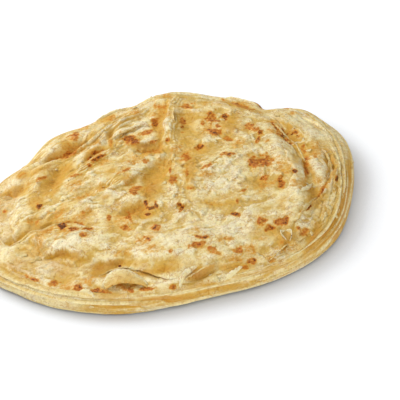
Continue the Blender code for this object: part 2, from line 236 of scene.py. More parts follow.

# Patches where fat soaked in (amounts over 0) or the dough is dry and pale (under 0), read the same way.
# A few golden ones, marked below, are painted shade under torn edges and overhangs.
soakedAndShadePatches = (
    (188, 125, 5, 12, 0, 0.5), (205, 116, 4.5, 4.5, 0, 0.4), (230, 123, 6.5, 5, 0, 0.65),
    (215, 104, 12, 1.5, -6, 0.35), (242, 106, 7.5, 1.5, -18, 0.6), (198, 150, 5.5, 5.5, 0, 0.35),
    (191, 172, 5, 8, 0, 0.75), (258, 184, 4, 4.5, 0, 0.7), (225, 178, 12, 7.5, 0, -0.8),
    (238, 146, 9, 3.5, 0, -0.4), (275, 150, 7, 7.5, 0, -0.3), (222, 204, 11, 2, 8, 0.55),
    (240, 197, 2, 3.5, 0, 0.4), (212, 226, 16, 4, 8, -0.6), (299, 196, 3, 9.5, 0, -0.8),
    (296, 160, 3.5, 4.5, 0, 0.5), (285, 202, 5, 4, 0, 0.35), (312, 200, 3.5, 6.5, -20, 0.8),
    (318, 162, 4.5, 9, 0, -0.5), (333, 166, 2, 7.5, 0, 1), (288, 117, 5, 3, -20, 0.45),
    (15, 192, 7.5, 3, 25, 0.9), (36, 172, 7, 3, 25, 0.6), (35, 204, 4.5, 5, 0, 0.8),
    (56, 183, 3.5, 7.5, -20, 1), (70, 151, 8, 3, 33, 1), (62, 143, 5.5, 2, 33, 0.5),
    (108, 120, 4.5, 3.5, 30, 0.8), (50, 146, 5, 3.5, 35, -0.6), (96, 151, 6.5, 3, 38, 0.25),
    # (150, 151) on this line is painted shade in the wedge under a torn layer
    (111, 144, 1.5, 3.5, 0, 1), (160, 132, 1.5, 10, 0, 0.8), (150, 151, 7.5, 2, 5, 1),
    (156, 180, 5.5, 8, -25, 0.75), (135, 212, 6.5, 4, 0, 1), (133, 200, 4.5, 3, 0, -0.6),
    (105, 197, 5.5, 2, 8, 0.6), (92, 182, 12, 4, 0, -0.3), (140, 164, 6.5, 2, 0, -0.6),
    (30, 231, 14, 2.4, 14, 0.45), (20, 211, 7.5, 3, 0, -0.4), (112, 222, 5, 3.5, 0, 0.35),
    (75, 222, 7.5, 2, 0, 0.4), (82, 240, 17, 2, 0, -0.6), (32, 250, 7.5, 3, -20, 0.35),
    (70, 268, 8, 6, 0, 0.3), (90, 263, 3, 6, 20, -0.5), (100, 279, 4, 2, 10, -0.6), (98, 268, 5, 3.5, 0, 1),
    (116, 263, 4.5, 1.5, 10, 1), (32, 267, 9, 5, -20, -0.8), (52, 270, 5, 4.5, 0, -0.6),
    (158, 282, 9, 2, 0, -0.5), (85, 280, 3.5, 3.5, 0, -0.7), (196, 274, 6, 3.5, 20, 1),
    (216, 273, 4.5, 3, 0, -0.6), (240, 248, 5.5, 4.5, 0, -0.3), (250, 236, 6.5, 3.5, 0, 0.3),
    (283, 242, 4, 3, 30, 0.6), (313, 239, 2, 7.5, -30, 1), (322, 212, 3, 6.5, -25, 0.35),
    (218, 287, 13, 3, 8, 0.75), (160, 298, 16, 1.5, 3, 0.7), (346, 190, 3.5, 20, -12, 1),
    (338, 218, 3.5, 11, -28, 1), (326, 238, 3.5, 10, -42, 0.9), (95, 306, 12, 1.6, -8, 0.6),
    (125, 304, 14, 2, 0, 0.8), (158, 303, 12, 2, 5, 0.8), (40, 297, 14, 3.5, -14, -1),
    (300, 115, 6, 3, 0, -0.7), (20, 175, 4, 2, 25, 0.6), (62, 300, 10, 3, -10, -0.8),
    (180, 298, 12, 2, 6, 0.7), (132, 112, 8, 4, 35, -1), (114, 130, 10, 4.5, 38, -1),
    (90, 149, 6, 4, 35, -1), (70, 168, 5, 4, 30, 0.6), (110, 172, 6, 4, 20, 0.5), (211, 150, 5, 4, 0, 0.45),
    (148, 191, 5, 5, 0, 0.55), (151, 213, 6, 4, 0, 0.5), (190, 210, 6, 5, 0, -0.5),
    (10, 236, 7, 6, 0, -0.6), (46, 246, 9, 4, -10, -0.5), (130, 248, 8, 5, 0, -0.6),
    # (66, 254) on this line, and (26, 248) and (88, 258) on the next, are painted shade below the front-left
    # torn edge
    (70, 192, 6, 4, 0, -0.4), (150, 168, 4, 3, 0, -0.4), (66, 254, 10, 1.7, 6, 0.9),
    (26, 248, 8, 1.5, 18, 0.8), (58, 244, 14, 1.6, 8, -0.8), (88, 258, 4, 2.2, 40, 0.7),
    (306, 128, 8, 5, -35, -0.5), (324, 184, 4, 7, -10, -0.5), (272, 230, 9, 4, -20, 0.5),
    (292, 232, 5, 6, -30, 0.5), (250, 251, 4, 4, 0, -0.4), (290, 250, 5, 4, -30, -0.4),
    # (152, 272) on this line is painted shade under the overhang right of the front flap
    (240, 268, 11, 3.5, 12, 0.6), (292, 264, 7, 3, 30, 0.5), (152, 272, 13, 1.8, 10, 0.55),
    (128, 262, 8, 4, 0, 0.45), (170, 262, 10, 4, 6, 0.45), (222, 268, 9, 3, 8, 0.5),
)


def ramp(values):
    # 0 at and below 0, 1 at and above 1, and a smooth rise between
    share = np.clip(values, 0, 1)
    return share * share * (3 - 2 * share)


def bell(away, width=1.0):
    # 1 in the middle, falling off smoothly to both sides
    return np.exp(-((away / width) ** 2))


def swell(angle, lobes):
    total = np.zeros_like(angle)
    for direction, halfWidth, amount in lobes:
        turn = (np.degrees(angle) - direction + 180) % 360 - 180
        total += amount * bell(turn, halfWidth)
    return total


cellMask = 65535  # keeps 16 bits of a cell's number
spotMask = 1023  # and this one 10 bits


def scramble(column, row, seed):
    # a fixed pseudo-random whole number for each cell of a grid
    mixed = column * 374761393 + row * 668265263 + seed * 362437
    mixed = (mixed ^ (mixed >> 13)) * 1274126177
    return mixed ^ (mixed >> 16)


def gradientNoise(x, y, seed=0):
    # smooth noise over a unit grid, about -1 to 1
    column, row = np.floor(x).astype(np.int64), np.floor(y).astype(np.int64)
    fx, fy = x - column, y - row

    def corner(dx, dy):
        turn = (scramble(column + dx, row + dy, seed) & cellMask) / cellMask * math.tau
        return np.cos(turn) * (fx - dx) + np.sin(turn) * (fy - dy)

    u, v = (f * f * f * (f * (f * 6 - 15) + 10) for f in (fx, fy))
    low = corner(0, 0) * (1 - u) + corner(1, 0) * u
    high = corner(0, 1) * (1 - u) + corner(1, 1) * u
    return 1.5 * (low * (1 - v) + high * v)


def fractalNoise(x, y, size, octaves=3, seed=0):
    total, reach = 0, 0
    for octave in range(octaves):
        step = size / 2**octave
        total = total + gradientNoise(x / step, y / step, seed + octave) / 2**octave
        reach += 1 / 2**octave
    return total / reach


# The patterns of noise over the crust: grain in mm, octaves, seed and amount.
patterns = {
    "strayAcross": (15, 3, 61, 2.4),  # how far the folds and edges stray from their arcs
    "strayAlong": (15, 3, 62, 2.4),
    "ragged": (9, 3, 12, 1.0),  # torn edges and cracks
    "pleatBend": (22, 3, 13, 0.5),
    "pleatBreaks": (18, 2, 16, 1.4),
    "crackBreaks": (6, 2, 17, 2.0),
    "spotEdge": (4.2, 4, 11, 1.5),
    "spotPatches": (2.6, 3, 14, 0.35),
    "soakedEdge": (9, 5, 15, 0.5),
    "drifts": (22, 2, 19, 1.8),  # of flakes
    "warpAcross": (12, 3, 21, 3.0),
    "warpAlong": (12, 3, 22, 3.0),
    "lumps": (7, 3, 36, 0.4),
    "dryPatches": (14, 5, 35, 0.65),
    "blistered": (24, 2, 25, 2.2),
    "flaky": (15, 2, 34, 1.5),
    "grit": (2.2, 2, 27, 1.0),
    "swells": (20, 3, 31, 1.8),
    "flapStray": (1.5, 3, 63, 0.5),
    "curlTears": (1.4, 4, 64, 0.5),
    "curlEdge": (1.2, 4, 65, 0.7),
}


def pattern(name, x, y):
    grain, octaves, seed, amount = patterns[name]
    return amount * fractalNoise(x, y, grain, octaves, seed)


def spaceNoise(x, y, z, seed=0):
    # smooth noise in space, about -1 to 1
    cells = [np.floor(v).astype(np.int64) for v in (x, y, z)]
    fx, fy, fz = (v - cell for v, cell in zip((x, y, z), cells))
    u, v, w = (f * f * f * (f * (f * 6 - 15) + 10) for f in (fx, fy, fz))
    total = 0
    for dz, share in ((0, 1 - w), (1, w)):
        layer = seed + 7919 * (cells[2] + dz)
        corners = [
            2 * (scramble(cells[0] + dx, cells[1] + dy, layer) & cellMask) / cellMask - 1
            for dx, dy in ((0, 0), (1, 0), (0, 1), (1, 1))
        ]
        low = corners[0] * (1 - u) + corners[1] * u
        high = corners[2] * (1 - u) + corners[3] * u
        total = total + share * (low * (1 - v) + high * v)
    return total


# The crust's grain: on the left it fans out from a point outside the bread, elsewhere it follows the coil.
grainSpec = {
    "fanPoint": (-150, -35),
    "fanReach": 105.0,  # the distance from the fan's point at which the grain has its true size
    "coilReach": 65.0,  # and the distance from the coil's centre
    "change": 34.0,  # left of the centre, the fan turns into the coil over this width
}


def streaks(x, y, z, along, across, octaves=3, seed=0, coiled=False):
    # noise drawn out along the folds: along and across are its grain in mm
    angle, radius = np.arctan2(y, x), np.hypot(x, y)
    fanX, fanY = x - grainSpec["fanPoint"][0], y - grainSpec["fanPoint"][1]
    fanArc, fanRadius = grainSpec["fanReach"] * np.arctan2(fanY, fanX), np.hypot(fanX, fanY)
    share = 1.0 if coiled else ramp(x / grainSpec["change"] + 1)
    total, reach = 0, 0
    for octave in range(octaves):
        turn, step = grainSpec["coilReach"] * 2**octave / along, across / 2**octave
        coil = spaceNoise(turn * np.cos(angle), turn * np.sin(angle), (radius - z) / step, seed + octave)
        fan = gradientNoise(fanRadius * 2**octave / along, fanArc / step, seed + octave)
        total = total + (fan + (coil - fan) * share) / 2**octave
        reach += 1 / 2**octave
    return total / reach


def cellNoise(x, y, size, seed=0):
    # distance to the nearest of points scattered one to a cell, in cells
    column, row = np.floor(x / size).astype(np.int64), np.floor(y / size).astype(np.int64)
    fx, fy = x / size - column, y / size - row
    nearest = np.full(np.shape(x), 9.0)
    for dx in (-1, 0, 1):
        for dy in (-1, 0, 1):
            mixed = scramble(column + dx, row + dy, seed)
            px, py = (mixed & spotMask) / spotMask, ((mixed >> 10) & spotMask) / spotMask
            nearest = np.minimum(nearest, np.hypot(dx + px - fx, dy + py - fy))
    return nearest


def roundNoise(angle, turns, shift, seed):
    # smooth noise round the rim: the more turns, the finer it is
    return gradientNoise(turns * np.cos(angle) + shift, turns * np.sin(angle), seed)


def spaceRoundNoise(angle, turns, level, seed):
    # the same, and it changes with a level as well
    return spaceNoise(turns * np.cos(angle), turns * np.sin(angle), np.full_like(angle, level), seed)


def outlineRadius(angle):
    return breadSpec["radius"] + swell(angle, breadSpec["outlineLobes"])


def discRadius(angle):
    edge = breadSpec["discRadius"] + swell(angle, breadSpec["discLobes"])
    return np.minimum(edge, outlineRadius(angle) - breadSpec["wrapWidth"])


def gapOpening(angle):
    return np.clip(swell(angle, breadSpec["gapStretches"]), 0, 3)


def wrapHeight(angle):
    wave = breadSpec["crestWave"] * np.sin(3 * angle + 0.6) + swell(angle, breadSpec["crestLobes"])
    return breadSpec["edgeHeight"] + breadSpec["edgeTilt"] * np.cos(angle) + wave


def arcPoints(start, middle, end, steps=foldSteps):
    start, middle, end = (np.array(point, float) for point in (start, middle, end))
    pull = 2 * middle - (start + end) / 2
    t = np.linspace(0, 1, steps + 1)[:, None]
    return (1 - t) ** 2 * start + 2 * t * (1 - t) * pull + t**2 * end


def alongArc(x, y, path):
    # for each point: the signed distance to an arc (left is positive) and the share of the way along it
    line = arcPoints(*path)
    nearest, side, along = np.full_like(x, 1e6), np.zeros_like(x), np.zeros_like(x)
    for step, (a, b) in enumerate(zip(line[:-1], line[1:])):
        run = b - a
        share = ((x - a[0]) * run[0] + (y - a[1]) * run[1]) / (run @ run)
        held = np.clip(share, 0, 1)
        away = np.hypot(x - a[0] - held * run[0], y - a[1] - held * run[1])
        closer = away < nearest
        turn = run[0] * (y - a[1]) - run[1] * (x - a[0])
        nearest = np.where(closer, away, nearest)
        side = np.where(closer, np.sign(turn), side)
        along = np.where(closer, (step + held) / foldSteps, along)
    return nearest * side, np.clip(along, 0, 1)


# How the folds, torn edges, pleats and cracks above are drawn, in mm.
foldSpec = {
    "stepWidth": 0.7,
    "stepOver": 0.62,  # the share of a torn edge's step that stands over the crust; the rest lies under it
    "footReach": 0.45,  # times the reach
    "dryAndLitEdge": 0.9,
    "dryAndLitReach": 2.2,
    "dryAndLitPleat": 0.7,
    "oilAndShadePleat": 0.8,
    "oilAndShadeHollow": 0.4,
    "hollowDepth": 3.0,
}


def foldFields(x, y):
    # height, oiliness, toasting and airiness from all the folds, torn edges, pleats and cracks
    height, oilAndShade, toastAndShade, airyAndLight = (np.zeros_like(x) for _ in range(4))
    ragged = pattern("ragged", x, y)
    x, y = x + pattern("strayAcross", x, y), y + pattern("strayAlong", x, y)
    for path, halfWidth, rise, oilAndShadeAmount, toastAndShadeAmount in folds.values():
        away, along = alongArc(x, y, path)
        nearness = (0.15 + 0.85 * np.sin(math.pi * along)) * bell(away, halfWidth)
        height += rise * nearness
        oilAndShade = np.maximum(oilAndShade, oilAndShadeAmount * nearness)
        toastAndShade = np.maximum(toastAndShade, toastAndShadeAmount * nearness)
    for path, rise, reach, oilAndShadeAmount in lips.values():
        away, along = alongArc(x, y, path)
        away = away + ragged
        taper = np.sin(math.pi * along) ** 0.9
        upper = ramp(away / foldSpec["stepWidth"] + 0.5) * np.exp(-((np.maximum(away, 0) / reach) ** 1.5))
        foot = bell(np.minimum(away, 0), foldSpec["footReach"] * reach) * (away < 0)
        height += rise * taper * (foldSpec["stepOver"] * upper - (1 - foldSpec["stepOver"]) * foot)
        # the top of each step is paler: partly its dry edge, partly painted highlight
        airyAndLight += foldSpec["dryAndLitEdge"] * taper * upper * bell(away, foldSpec["dryAndLitReach"])
        # the foot under each step is golden: partly fat, partly painted shade under the step
        oilAndShade = np.maximum(oilAndShade, oilAndShadeAmount * taper * foot)
    for path, halfWidth, spacing, rise in pleats.values():
        away, along = alongArc(x, y, path)
        wave = 1 - 2 * np.abs(np.cos(math.tau * (away / spacing + pattern("pleatBend", x, y)))) ** 0.7
        broken = ramp(0.85 + pattern("pleatBreaks", x, y))
        mask = np.exp(-((away / halfWidth) ** 4)) * np.sin(math.pi * along) * broken
        height += rise * mask * wave
        # pleats are paler on their crests and golden in their grooves: partly dry and oily dough, partly
        # painted highlight and shade
        airyAndLight += foldSpec["dryAndLitPleat"] * mask * wave
        oilAndShade = np.maximum(oilAndShade, foldSpec["oilAndShadePleat"] * mask * np.clip(-wave, 0, 1))
    for path, halfWidth, depth, toastAndShadeAmount in cracks.values():
        away, along = alongArc(x, y, path)
        taper = np.sin(math.pi * along) ** 0.8 * ramp(0.95 + pattern("crackBreaks", x, y))
        nearness = taper * bell(away + 0.8 * ragged, halfWidth)
        height -= depth * nearness
        toastAndShade = np.maximum(toastAndShade, toastAndShadeAmount * nearness)
    # hollows are painted more golden the deeper they lie: partly pooled fat, partly painted shade
    oilAndShade = np.maximum(oilAndShade, foldSpec["oilAndShadeHollow"] * ramp(-height / foldSpec["hollowDepth"]))
    return height, oilAndShade, toastAndShade, airyAndLight


def baseHeight(radius, angle):
    edge = discRadius(angle)
    share = np.minimum(radius / edge, 1)
    slant = (wrapHeight(angle) - breadSpec["edgeHeight"]) * share**2
    return breadSpec["edgeHeight"] + slant + breadSpec["discLift"] + breadSpec["domeRise"] * (1 - share**3)


def cameraAxes():
    # the camera's right, up and back directions
    elevation, roll = math.radians(cameraSpec["elevation"]), math.radians(cameraSpec["roll"])
    back = Vector((0, -math.cos(elevation), math.sin(elevation)))
    right = Vector((1, 0, 0))
    up = back.cross(right)
    return math.cos(roll) * right - math.sin(roll) * up, math.sin(roll) * right + math.cos(roll) * up, back


# The size of a pixel at the aim, in mm.
pixelSize = cameraSpec["sensor"] / cameraSpec["lens"] * cameraSpec["distance"] / cameraSpec["pixels"]


def seenAt(x, y, z):
    # the pixel, from the picture's left and top, where the camera sees each point
    right, up, back = (np.array(axis) for axis in cameraAxes())
    away = np.stack([x + breadSpec["centre"][0], y + breadSpec["centre"][1], z], -1) - cameraSpec["aim"]
    scale = cameraSpec["distance"] / (cameraSpec["distance"] - away @ back) / pixelSize
    middle = cameraSpec["pixels"] / 2
    return middle + scale * (away @ right), middle - scale * (away @ up)


# Browned and oily spots, as they are drawn, in mm.
spotSpec = {
    "faintCount": 80,
    "faintSeed": 5,
    "faintReach": 98.0,
    "body": 1.05,
    "halo": 0.34,
    "haloReach": 1.8,  # times the spot
    "lowest": 3.0,  # nothing is browned below this height
}


def faintSpots():
    # small pale-tan spots scattered over the plan of the bread: the same values, with x and y in mm
    chance = np.random.default_rng(spotSpec["faintSeed"])
    spots = []
    for _ in range(spotSpec["faintCount"]):
        radius, angle = spotSpec["faintReach"] * math.sqrt(chance.random()), math.tau * chance.random()
        size = chance.uniform(1.2, 4.5)
        place = (radius * math.cos(angle), radius * math.sin(angle))
        shape = (size, size * chance.uniform(0.7, 1.5), chance.uniform(-40, 40))
        spots.append((*place, *shape, chance.uniform(0.05, 0.38)))
    return spots


def patchReach(across, down, patch, unit, reach=2.6):
    # the points near a patch, and how far they lie from its middle, where 1 is its edge
    px, py, halfWidth, halfHeight, turn = patch[:5]
    dx, dy = (across - px) * unit, (py - down) * unit
    near = np.flatnonzero(np.hypot(dx, dy) < reach * max(halfWidth, halfHeight))
    c, s = math.cos(math.radians(turn)), math.sin(math.radians(turn))
    dx, dy = dx[near], dy[near]
    return near, np.hypot((dx * c + dy * s) / halfWidth, (dy * c - dx * s) / halfHeight)


def spotField(x, y, z):
    # how browned the crust is; a few of the listed spots are painted shadow
    across, down = seenAt(x, y, z)
    ragged = pattern("spotEdge", x, y)
    patchy = 1 + pattern("spotPatches", x, y)
    field = np.zeros_like(x)
    places = [(across, down, pixelSize, spot) for spot in brownedAndShadeSpots]
    places += [(x, y, 1.0, spot) for spot in faintSpots()]
    for a, b, unit, spot in places:
        halfWidth, amount = spot[2], spot[5]
        near, away = patchReach(a, b, spot, unit)
        away = away + ragged[near] * min(1, 0.45 + 0.2 * halfWidth)  # small spots have smoother edges
        body = spotSpec["body"] * amount * ramp(1.55 - away) * patchy[near]
        halo = spotSpec["halo"] * bell(away, spotSpec["haloReach"])
        field[near] = np.maximum(field[near], np.maximum(body, halo))
    return field * (z > spotSpec["lowest"])


def soakedAndShadeField(x, y, z):
    # where the dough is see-through with fat (over 0), with a few patches of painted shade among them, and
    # where it is dry and pale (under 0)
    across, down = seenAt(x, y, z)
    ragged = pattern("soakedEdge", x, y)
    field = np.zeros_like(x)
    for patch in soakedAndShadePatches:
        amount = patch[5]
        near, away = patchReach(across, down, patch, pixelSize)
        field[near] += amount * np.exp(-((away + ragged[near]) ** 2) * 0.9)
    return np.clip(field, -1, 1) * (z > spotSpec["lowest"])


# The fine relief of the crust, in mm.
crustSpec = {
    "tornLayers": ((17, 0.8, 71), (12, 0.65, 74), (8, 0.5, 77), (5.5, 0.35, 80)),  # size, step, seed
    "evenMiddle": (14, -8),  # round this place the layers are torn every way, not along the folds
    "evenReach": 58,
    "evenEdge": 34,
    "blisters": 0.35,
    "blisterSpacing": 4.6,
    "wrinkles": 0.3,
    "wrinkleGrain": (18, 4.5),  # along and across
    "grit": 0.18,
}


def flakeEdges(x, y, z, coiled=False):
    # the torn edges of thin layers: each is a small step with a pale edge, partly dry dough and partly
    # painted highlight, and a golden foot of painted shade
    evenX, evenY = crustSpec["evenMiddle"]
    inside = (crustSpec["evenReach"] - np.hypot(x - evenX, y - evenY)) / crustSpec["evenEdge"]
    middle = 0.0 if coiled else ramp(inside)
    height, airyAndLight = np.zeros_like(x), np.zeros_like(x)
    for size, drop, seed in crustSpec["tornLayers"]:
        drawn = streaks(x, y, z, 2.6 * size, size, 4, seed, coiled)
        away = 0.5 * size * (drawn + (fractalNoise(x, y, 1.2 * size, 5, seed) - drawn) * middle)
        shown = ramp(0.35 + 2.2 * fractalNoise(x, y, 1.6 * size, 3, seed + 1))
        upper = ramp(away / 0.6) * np.exp(-np.maximum(away, 0) / (0.22 * size))
        foot = bell(away, 1.1) * (away < 0.2)
        height += drop * shown * (upper - 0.5 * foot)
        airyAndLight += shown * (0.9 * ramp(away / 0.5) * bell(np.maximum(away, 0), 1.1) - 0.8 * foot)
    return height, airyAndLight


def strewnField(x, y, z):
    # how thickly the flakes lie: in drifts, and most of them towards the rim
    drifts = ramp(0.1 + pattern("drifts", x, y))
    towardsRim = ramp((np.hypot(x, y) - flakeSpec["sparseReach"]) / 35)
    return (flakeSpec["leastStrewn"] + drifts * (0.15 + 0.85 * towardsRim)) * (z > flakeSpec["lowest"])


def fineRelief(x, y, z, coiled=False):
    # flaky steps, blisters and wrinkles of the crust: height, and how pale or tan the layers are there, paler
    # on blisters and wrinkle crests as partly dry dough and partly painted highlight
    warpX, warpY = x + pattern("warpAcross", x, y), y + pattern("warpAlong", x, y)
    height, airyAndLight = flakeEdges(warpX, warpY, z, coiled)
    height += pattern("lumps", x, y)
    airyAndLight += pattern("dryPatches", warpX, warpY) + 0.2
    bubbles = np.clip(1 - cellNoise(warpX, warpY, crustSpec["blisterSpacing"], 24) / 0.75, 0, 1)
    blisters = bubbles**0.7 * ramp(pattern("blistered", x, y) + 0.4)
    wrinkles = 1 - 2 * np.abs(streaks(warpX, warpY, z, *crustSpec["wrinkleGrain"], 3, 26, coiled))
    flaky = 0.2 + 0.8 * ramp(0.4 + pattern("flaky", x, y))
    grit = pattern("grit", x, y)
    height += crustSpec["blisters"] * blisters + crustSpec["wrinkles"] * flaky * wrinkles
    height += crustSpec["grit"] * grit
    return height, airyAndLight + 0.3 * blisters + 0.35 * flaky * wrinkles + 0.2 * grit


def relief(x, y, z, share=1.0, coiled=False):
    height, oilAndShade, toastAndShade, pale = foldFields(x, y)
    fine, airyAndLight = (share * field for field in fineRelief(x, y, z, coiled))
    # paler where the crust stands high and darker where it lies low: partly dry crests and oily hollows,
    # partly painted highlight and shade
    airyAndLight = airyAndLight + pale + 0.35 * np.clip(height / 2, -1, 1)
    return height + pattern("swells", x, y) + fine, oilAndShade, toastAndShade, airyAndLight


def discFields(radius, angle):
    x, y = radius * np.cos(angle), radius * np.sin(angle)
    rise, oilAndShade, toastAndShade, airyAndLight = relief(x, y, 0)
    opening = np.minimum(gapOpening(angle) / 0.6, 1)
    turnDown = 1 - ramp((discRadius(angle) - radius) / breadSpec["discEdge"])
    merge = 1 - ramp((discRadius(angle) - radius) / breadSpec["mergeWidth"])
    flush = swell(angle, breadSpec["flushStretches"])
    drop = opening * breadSpec["edgeDrop"] * turnDown + (1 - opening) * breadSpec["mergeDrop"] * merge
    drop = drop + flush * (0.9 * merge * breadSpec["discLift"] - drop)
    airyAndLight = airyAndLight + 0.6 * turnDown
    z = baseHeight(radius, angle) + rise - drop
    return radius, z, oilAndShade, toastAndShade, airyAndLight


def wrapPlace(angle, share, rise):
    # a ring of the last wrap: the cross-section is two quarters of a rounded box
    opening = gapOpening(angle)
    tuck = breadSpec["tuck"] * np.maximum(1 - opening, 0)
    inner = discRadius(angle) + breadSpec["gapWidth"] * opening - tuck
    outer, height = outlineRadius(angle), wrapHeight(angle)
    foot = breadSpec["footInset"]
    upper = outer - inner + height / 2
    upperShare = upper / (upper + 0.6 * foot + height / 2)
    over = share < upperShare
    turn = np.where(over, 1 - share / upperShare, (upperShare - share) / (1 - upperShare)) * math.pi / 2
    width = np.where(over, outer - inner, foot)
    power = 2 / np.where(over, breadSpec["squareness"], breadSpec["footSquareness"])
    out = np.cos(turn) ** power
    up = np.sign(turn) * np.abs(np.sin(turn)) ** power
    radius = outer - width * (1 - out) + rise * np.cos(turn)
    level = height / 2 * (1 + up) + rise * np.sin(turn)
    fade = np.where(over, np.sin(turn), 0) * ramp((outer - radius) / breadSpec["wrapWidth"])
    unrolled = radius + height - level  # so that the pattern runs on down the wall
    x, y = unrolled * np.cos(angle), unrolled * np.sin(angle)
    fineness = breadSpec["wrapFineness"] + swell(angle, leafRaggedness) * ramp((0.4 - share) / 0.2) * 0.6
    bump, oilAndShade, toastAndShade, airyAndLight = relief(x, y, level - height, fineness, True)
    level = np.maximum(level + fade * bump, breadSpec["footClearance"])
    return radius, level, oilAndShade * fade, toastAndShade * fade, airyAndLight + 0.2


# Each layer from its groove to its edge: share of the way down, share of the groove's depth.
leafProfile = ((0.0, 1.0), (0.1, 0.6), (0.35, 0.32), (0.7, 0.08), (0.93, 0.0))

# How strongly the layers stand out round the rim, and how ragged they are: (direction, half width, amount).
leafStrength = (
    (-135, 40, 0.15), (-64, 34, 0.25), (-10, 34, 0.4), (160, 34, 0.55), (90, 36, 0.6), (45, 20, 0.4),
)
leafRaggedness = ((-135, 45, 1.0), (165, 35, 0.6))


def leafStart(angle, leaf):
    if leaf in (0, breadSpec["leaves"]):
        return np.full_like(angle, leaf / breadSpec["leaves"])
    wander = roundNoise(angle, 2.6, 0.35 * leaf, 41)
    return (leaf + breadSpec["leafWander"] * wander) / breadSpec["leaves"]


def leafRise(angle, leaf, groove):
    strength = np.minimum(0.12 + swell(angle, leafStrength), 1.1)
    ragged = 0.15 + swell(angle, leafRaggedness)
    sway = roundNoise(angle, 3.1, 5 * leaf, 42) * 1.3
    ruffle = roundNoise(angle, 16, 3 * leaf, 43)
    depth = 0.1 + 0.9 * ramp(0.55 + 1.7 * roundNoise(angle, 3, 9 * leaf, 44))
    edge = (1 - groove) * (breadSpec["leafSway"] * sway + 0.4 * ragged * ruffle)
    strength = strength * (1 - 0.8 * np.minimum(ragged, 1) * ramp((0.4 - leaf / breadSpec["leaves"]) / 0.25))
    return strength * (edge - groove * depth * breadSpec["leafGroove"])


def wrapRings(angle):
    # the gap's floor under the disc, the gap, then layer after layer down to the foot. The gap and the
    # layers' grooves get painted shade, darker the deeper they lie, and the gap is painted browner too.
    depth = breadSpec["gapDepth"] * np.minimum(gapOpening(angle), 1)
    radius, level, oilAndShade, toastAndShade, airyAndLight = wrapPlace(angle, 0.0, -depth)
    yield radius - 5, level - 0.5, oilAndShade, toastAndShade, airyAndLight, 1.0
    yield radius, level, oilAndShade, toastAndShade + 0.3 * np.minimum(gapOpening(angle), 1), airyAndLight, np.clip(depth / 2, 0, 1)
    for leaf in range(breadSpec["leaves"]):
        start, stop = leafStart(angle, leaf), leafStart(angle, leaf + 1)
        for down, groove in leafProfile:
            if leaf or down:
                share = start + (stop - start) * down
                rise = leafRise(angle, leaf, groove)
                sunk = depth * (1 - down) ** 2 if leaf == 0 else 0
                radius, level, oilAndShade, toastAndShade, airyAndLight = wrapPlace(angle, share, rise - sunk)
                standing = 0.55 * down * np.minimum(swell(angle, leafStrength), 1)
                wall = ramp((breadSpec["wallTop"] - level) / 6)
                edge = ramp((breadSpec["wallFoot"] - level) / 2)
                # darker in each layer's groove and paler towards its standing edge: painted shade and painted
                # highlight
                airyAndLight = airyAndLight + np.where(groove > 0.2, 0.9 * rise, standing)
                airyAndLight = airyAndLight - 0.15 * wall + 0.8 * edge
                # painted shade in each groove, the darker the deeper it lies
                deep = np.clip(-0.4 * (rise - sunk), 0, 1)
                yield radius, level, oilAndShade + 0.2 * wall * (1 - edge), toastAndShade, airyAndLight, deep


def gridToDisc(cells):
    # a square grid laid over a disc: share of the radius and direction of each point
    a, b = np.meshgrid(np.linspace(-1, 1, cells + 1), np.linspace(-1, 1, cells + 1))
    a, b = np.round(a.ravel(), 6), np.round(b.ravel(), 6)
    share = np.maximum(np.abs(a), np.abs(b))
    wide = np.abs(a) >= np.abs(b)
    with np.errstate(divide="ignore", invalid="ignore"):
        angle = np.where(wide, b / a, 2 - a / b) * math.pi / 4
    angle = np.where(np.where(wide, a, b) < 0, angle + math.pi, angle)
    return share, np.where(share > 0, angle, 0.0)


def gridRim(cells):
    # the grid's outer points, in order round the disc
    side = np.arange(cells)
    row = cells + 1
    return np.concatenate([side, side * row + cells, cells * row + cells - side, (cells - side) * row])


# What the material reads at each point: golden where soaked with fat and where painted shade falls, browned
# and here and there browner with painted shade, dry and pale with painted highlights, and painted shade deep
# in a gap or groove.
fieldNames = ("oilAndShade", "toastAndShade", "airyAndLight", "deep")


def addFields(mesh, fields):
    # a value for each point of a mesh, which the dough's material reads; then the mesh is shaded smooth
    for name, values in fields.items():
        mesh.attributes.new(name, "FLOAT", "POINT").data.foreach_set("value", values.astype(np.float32))
    mesh.shade_smooth()


def addObject(name, data):
    made = bpy.data.objects.new(name, data)
    bpy.context.scene.collection.objects.link(made)
    return made


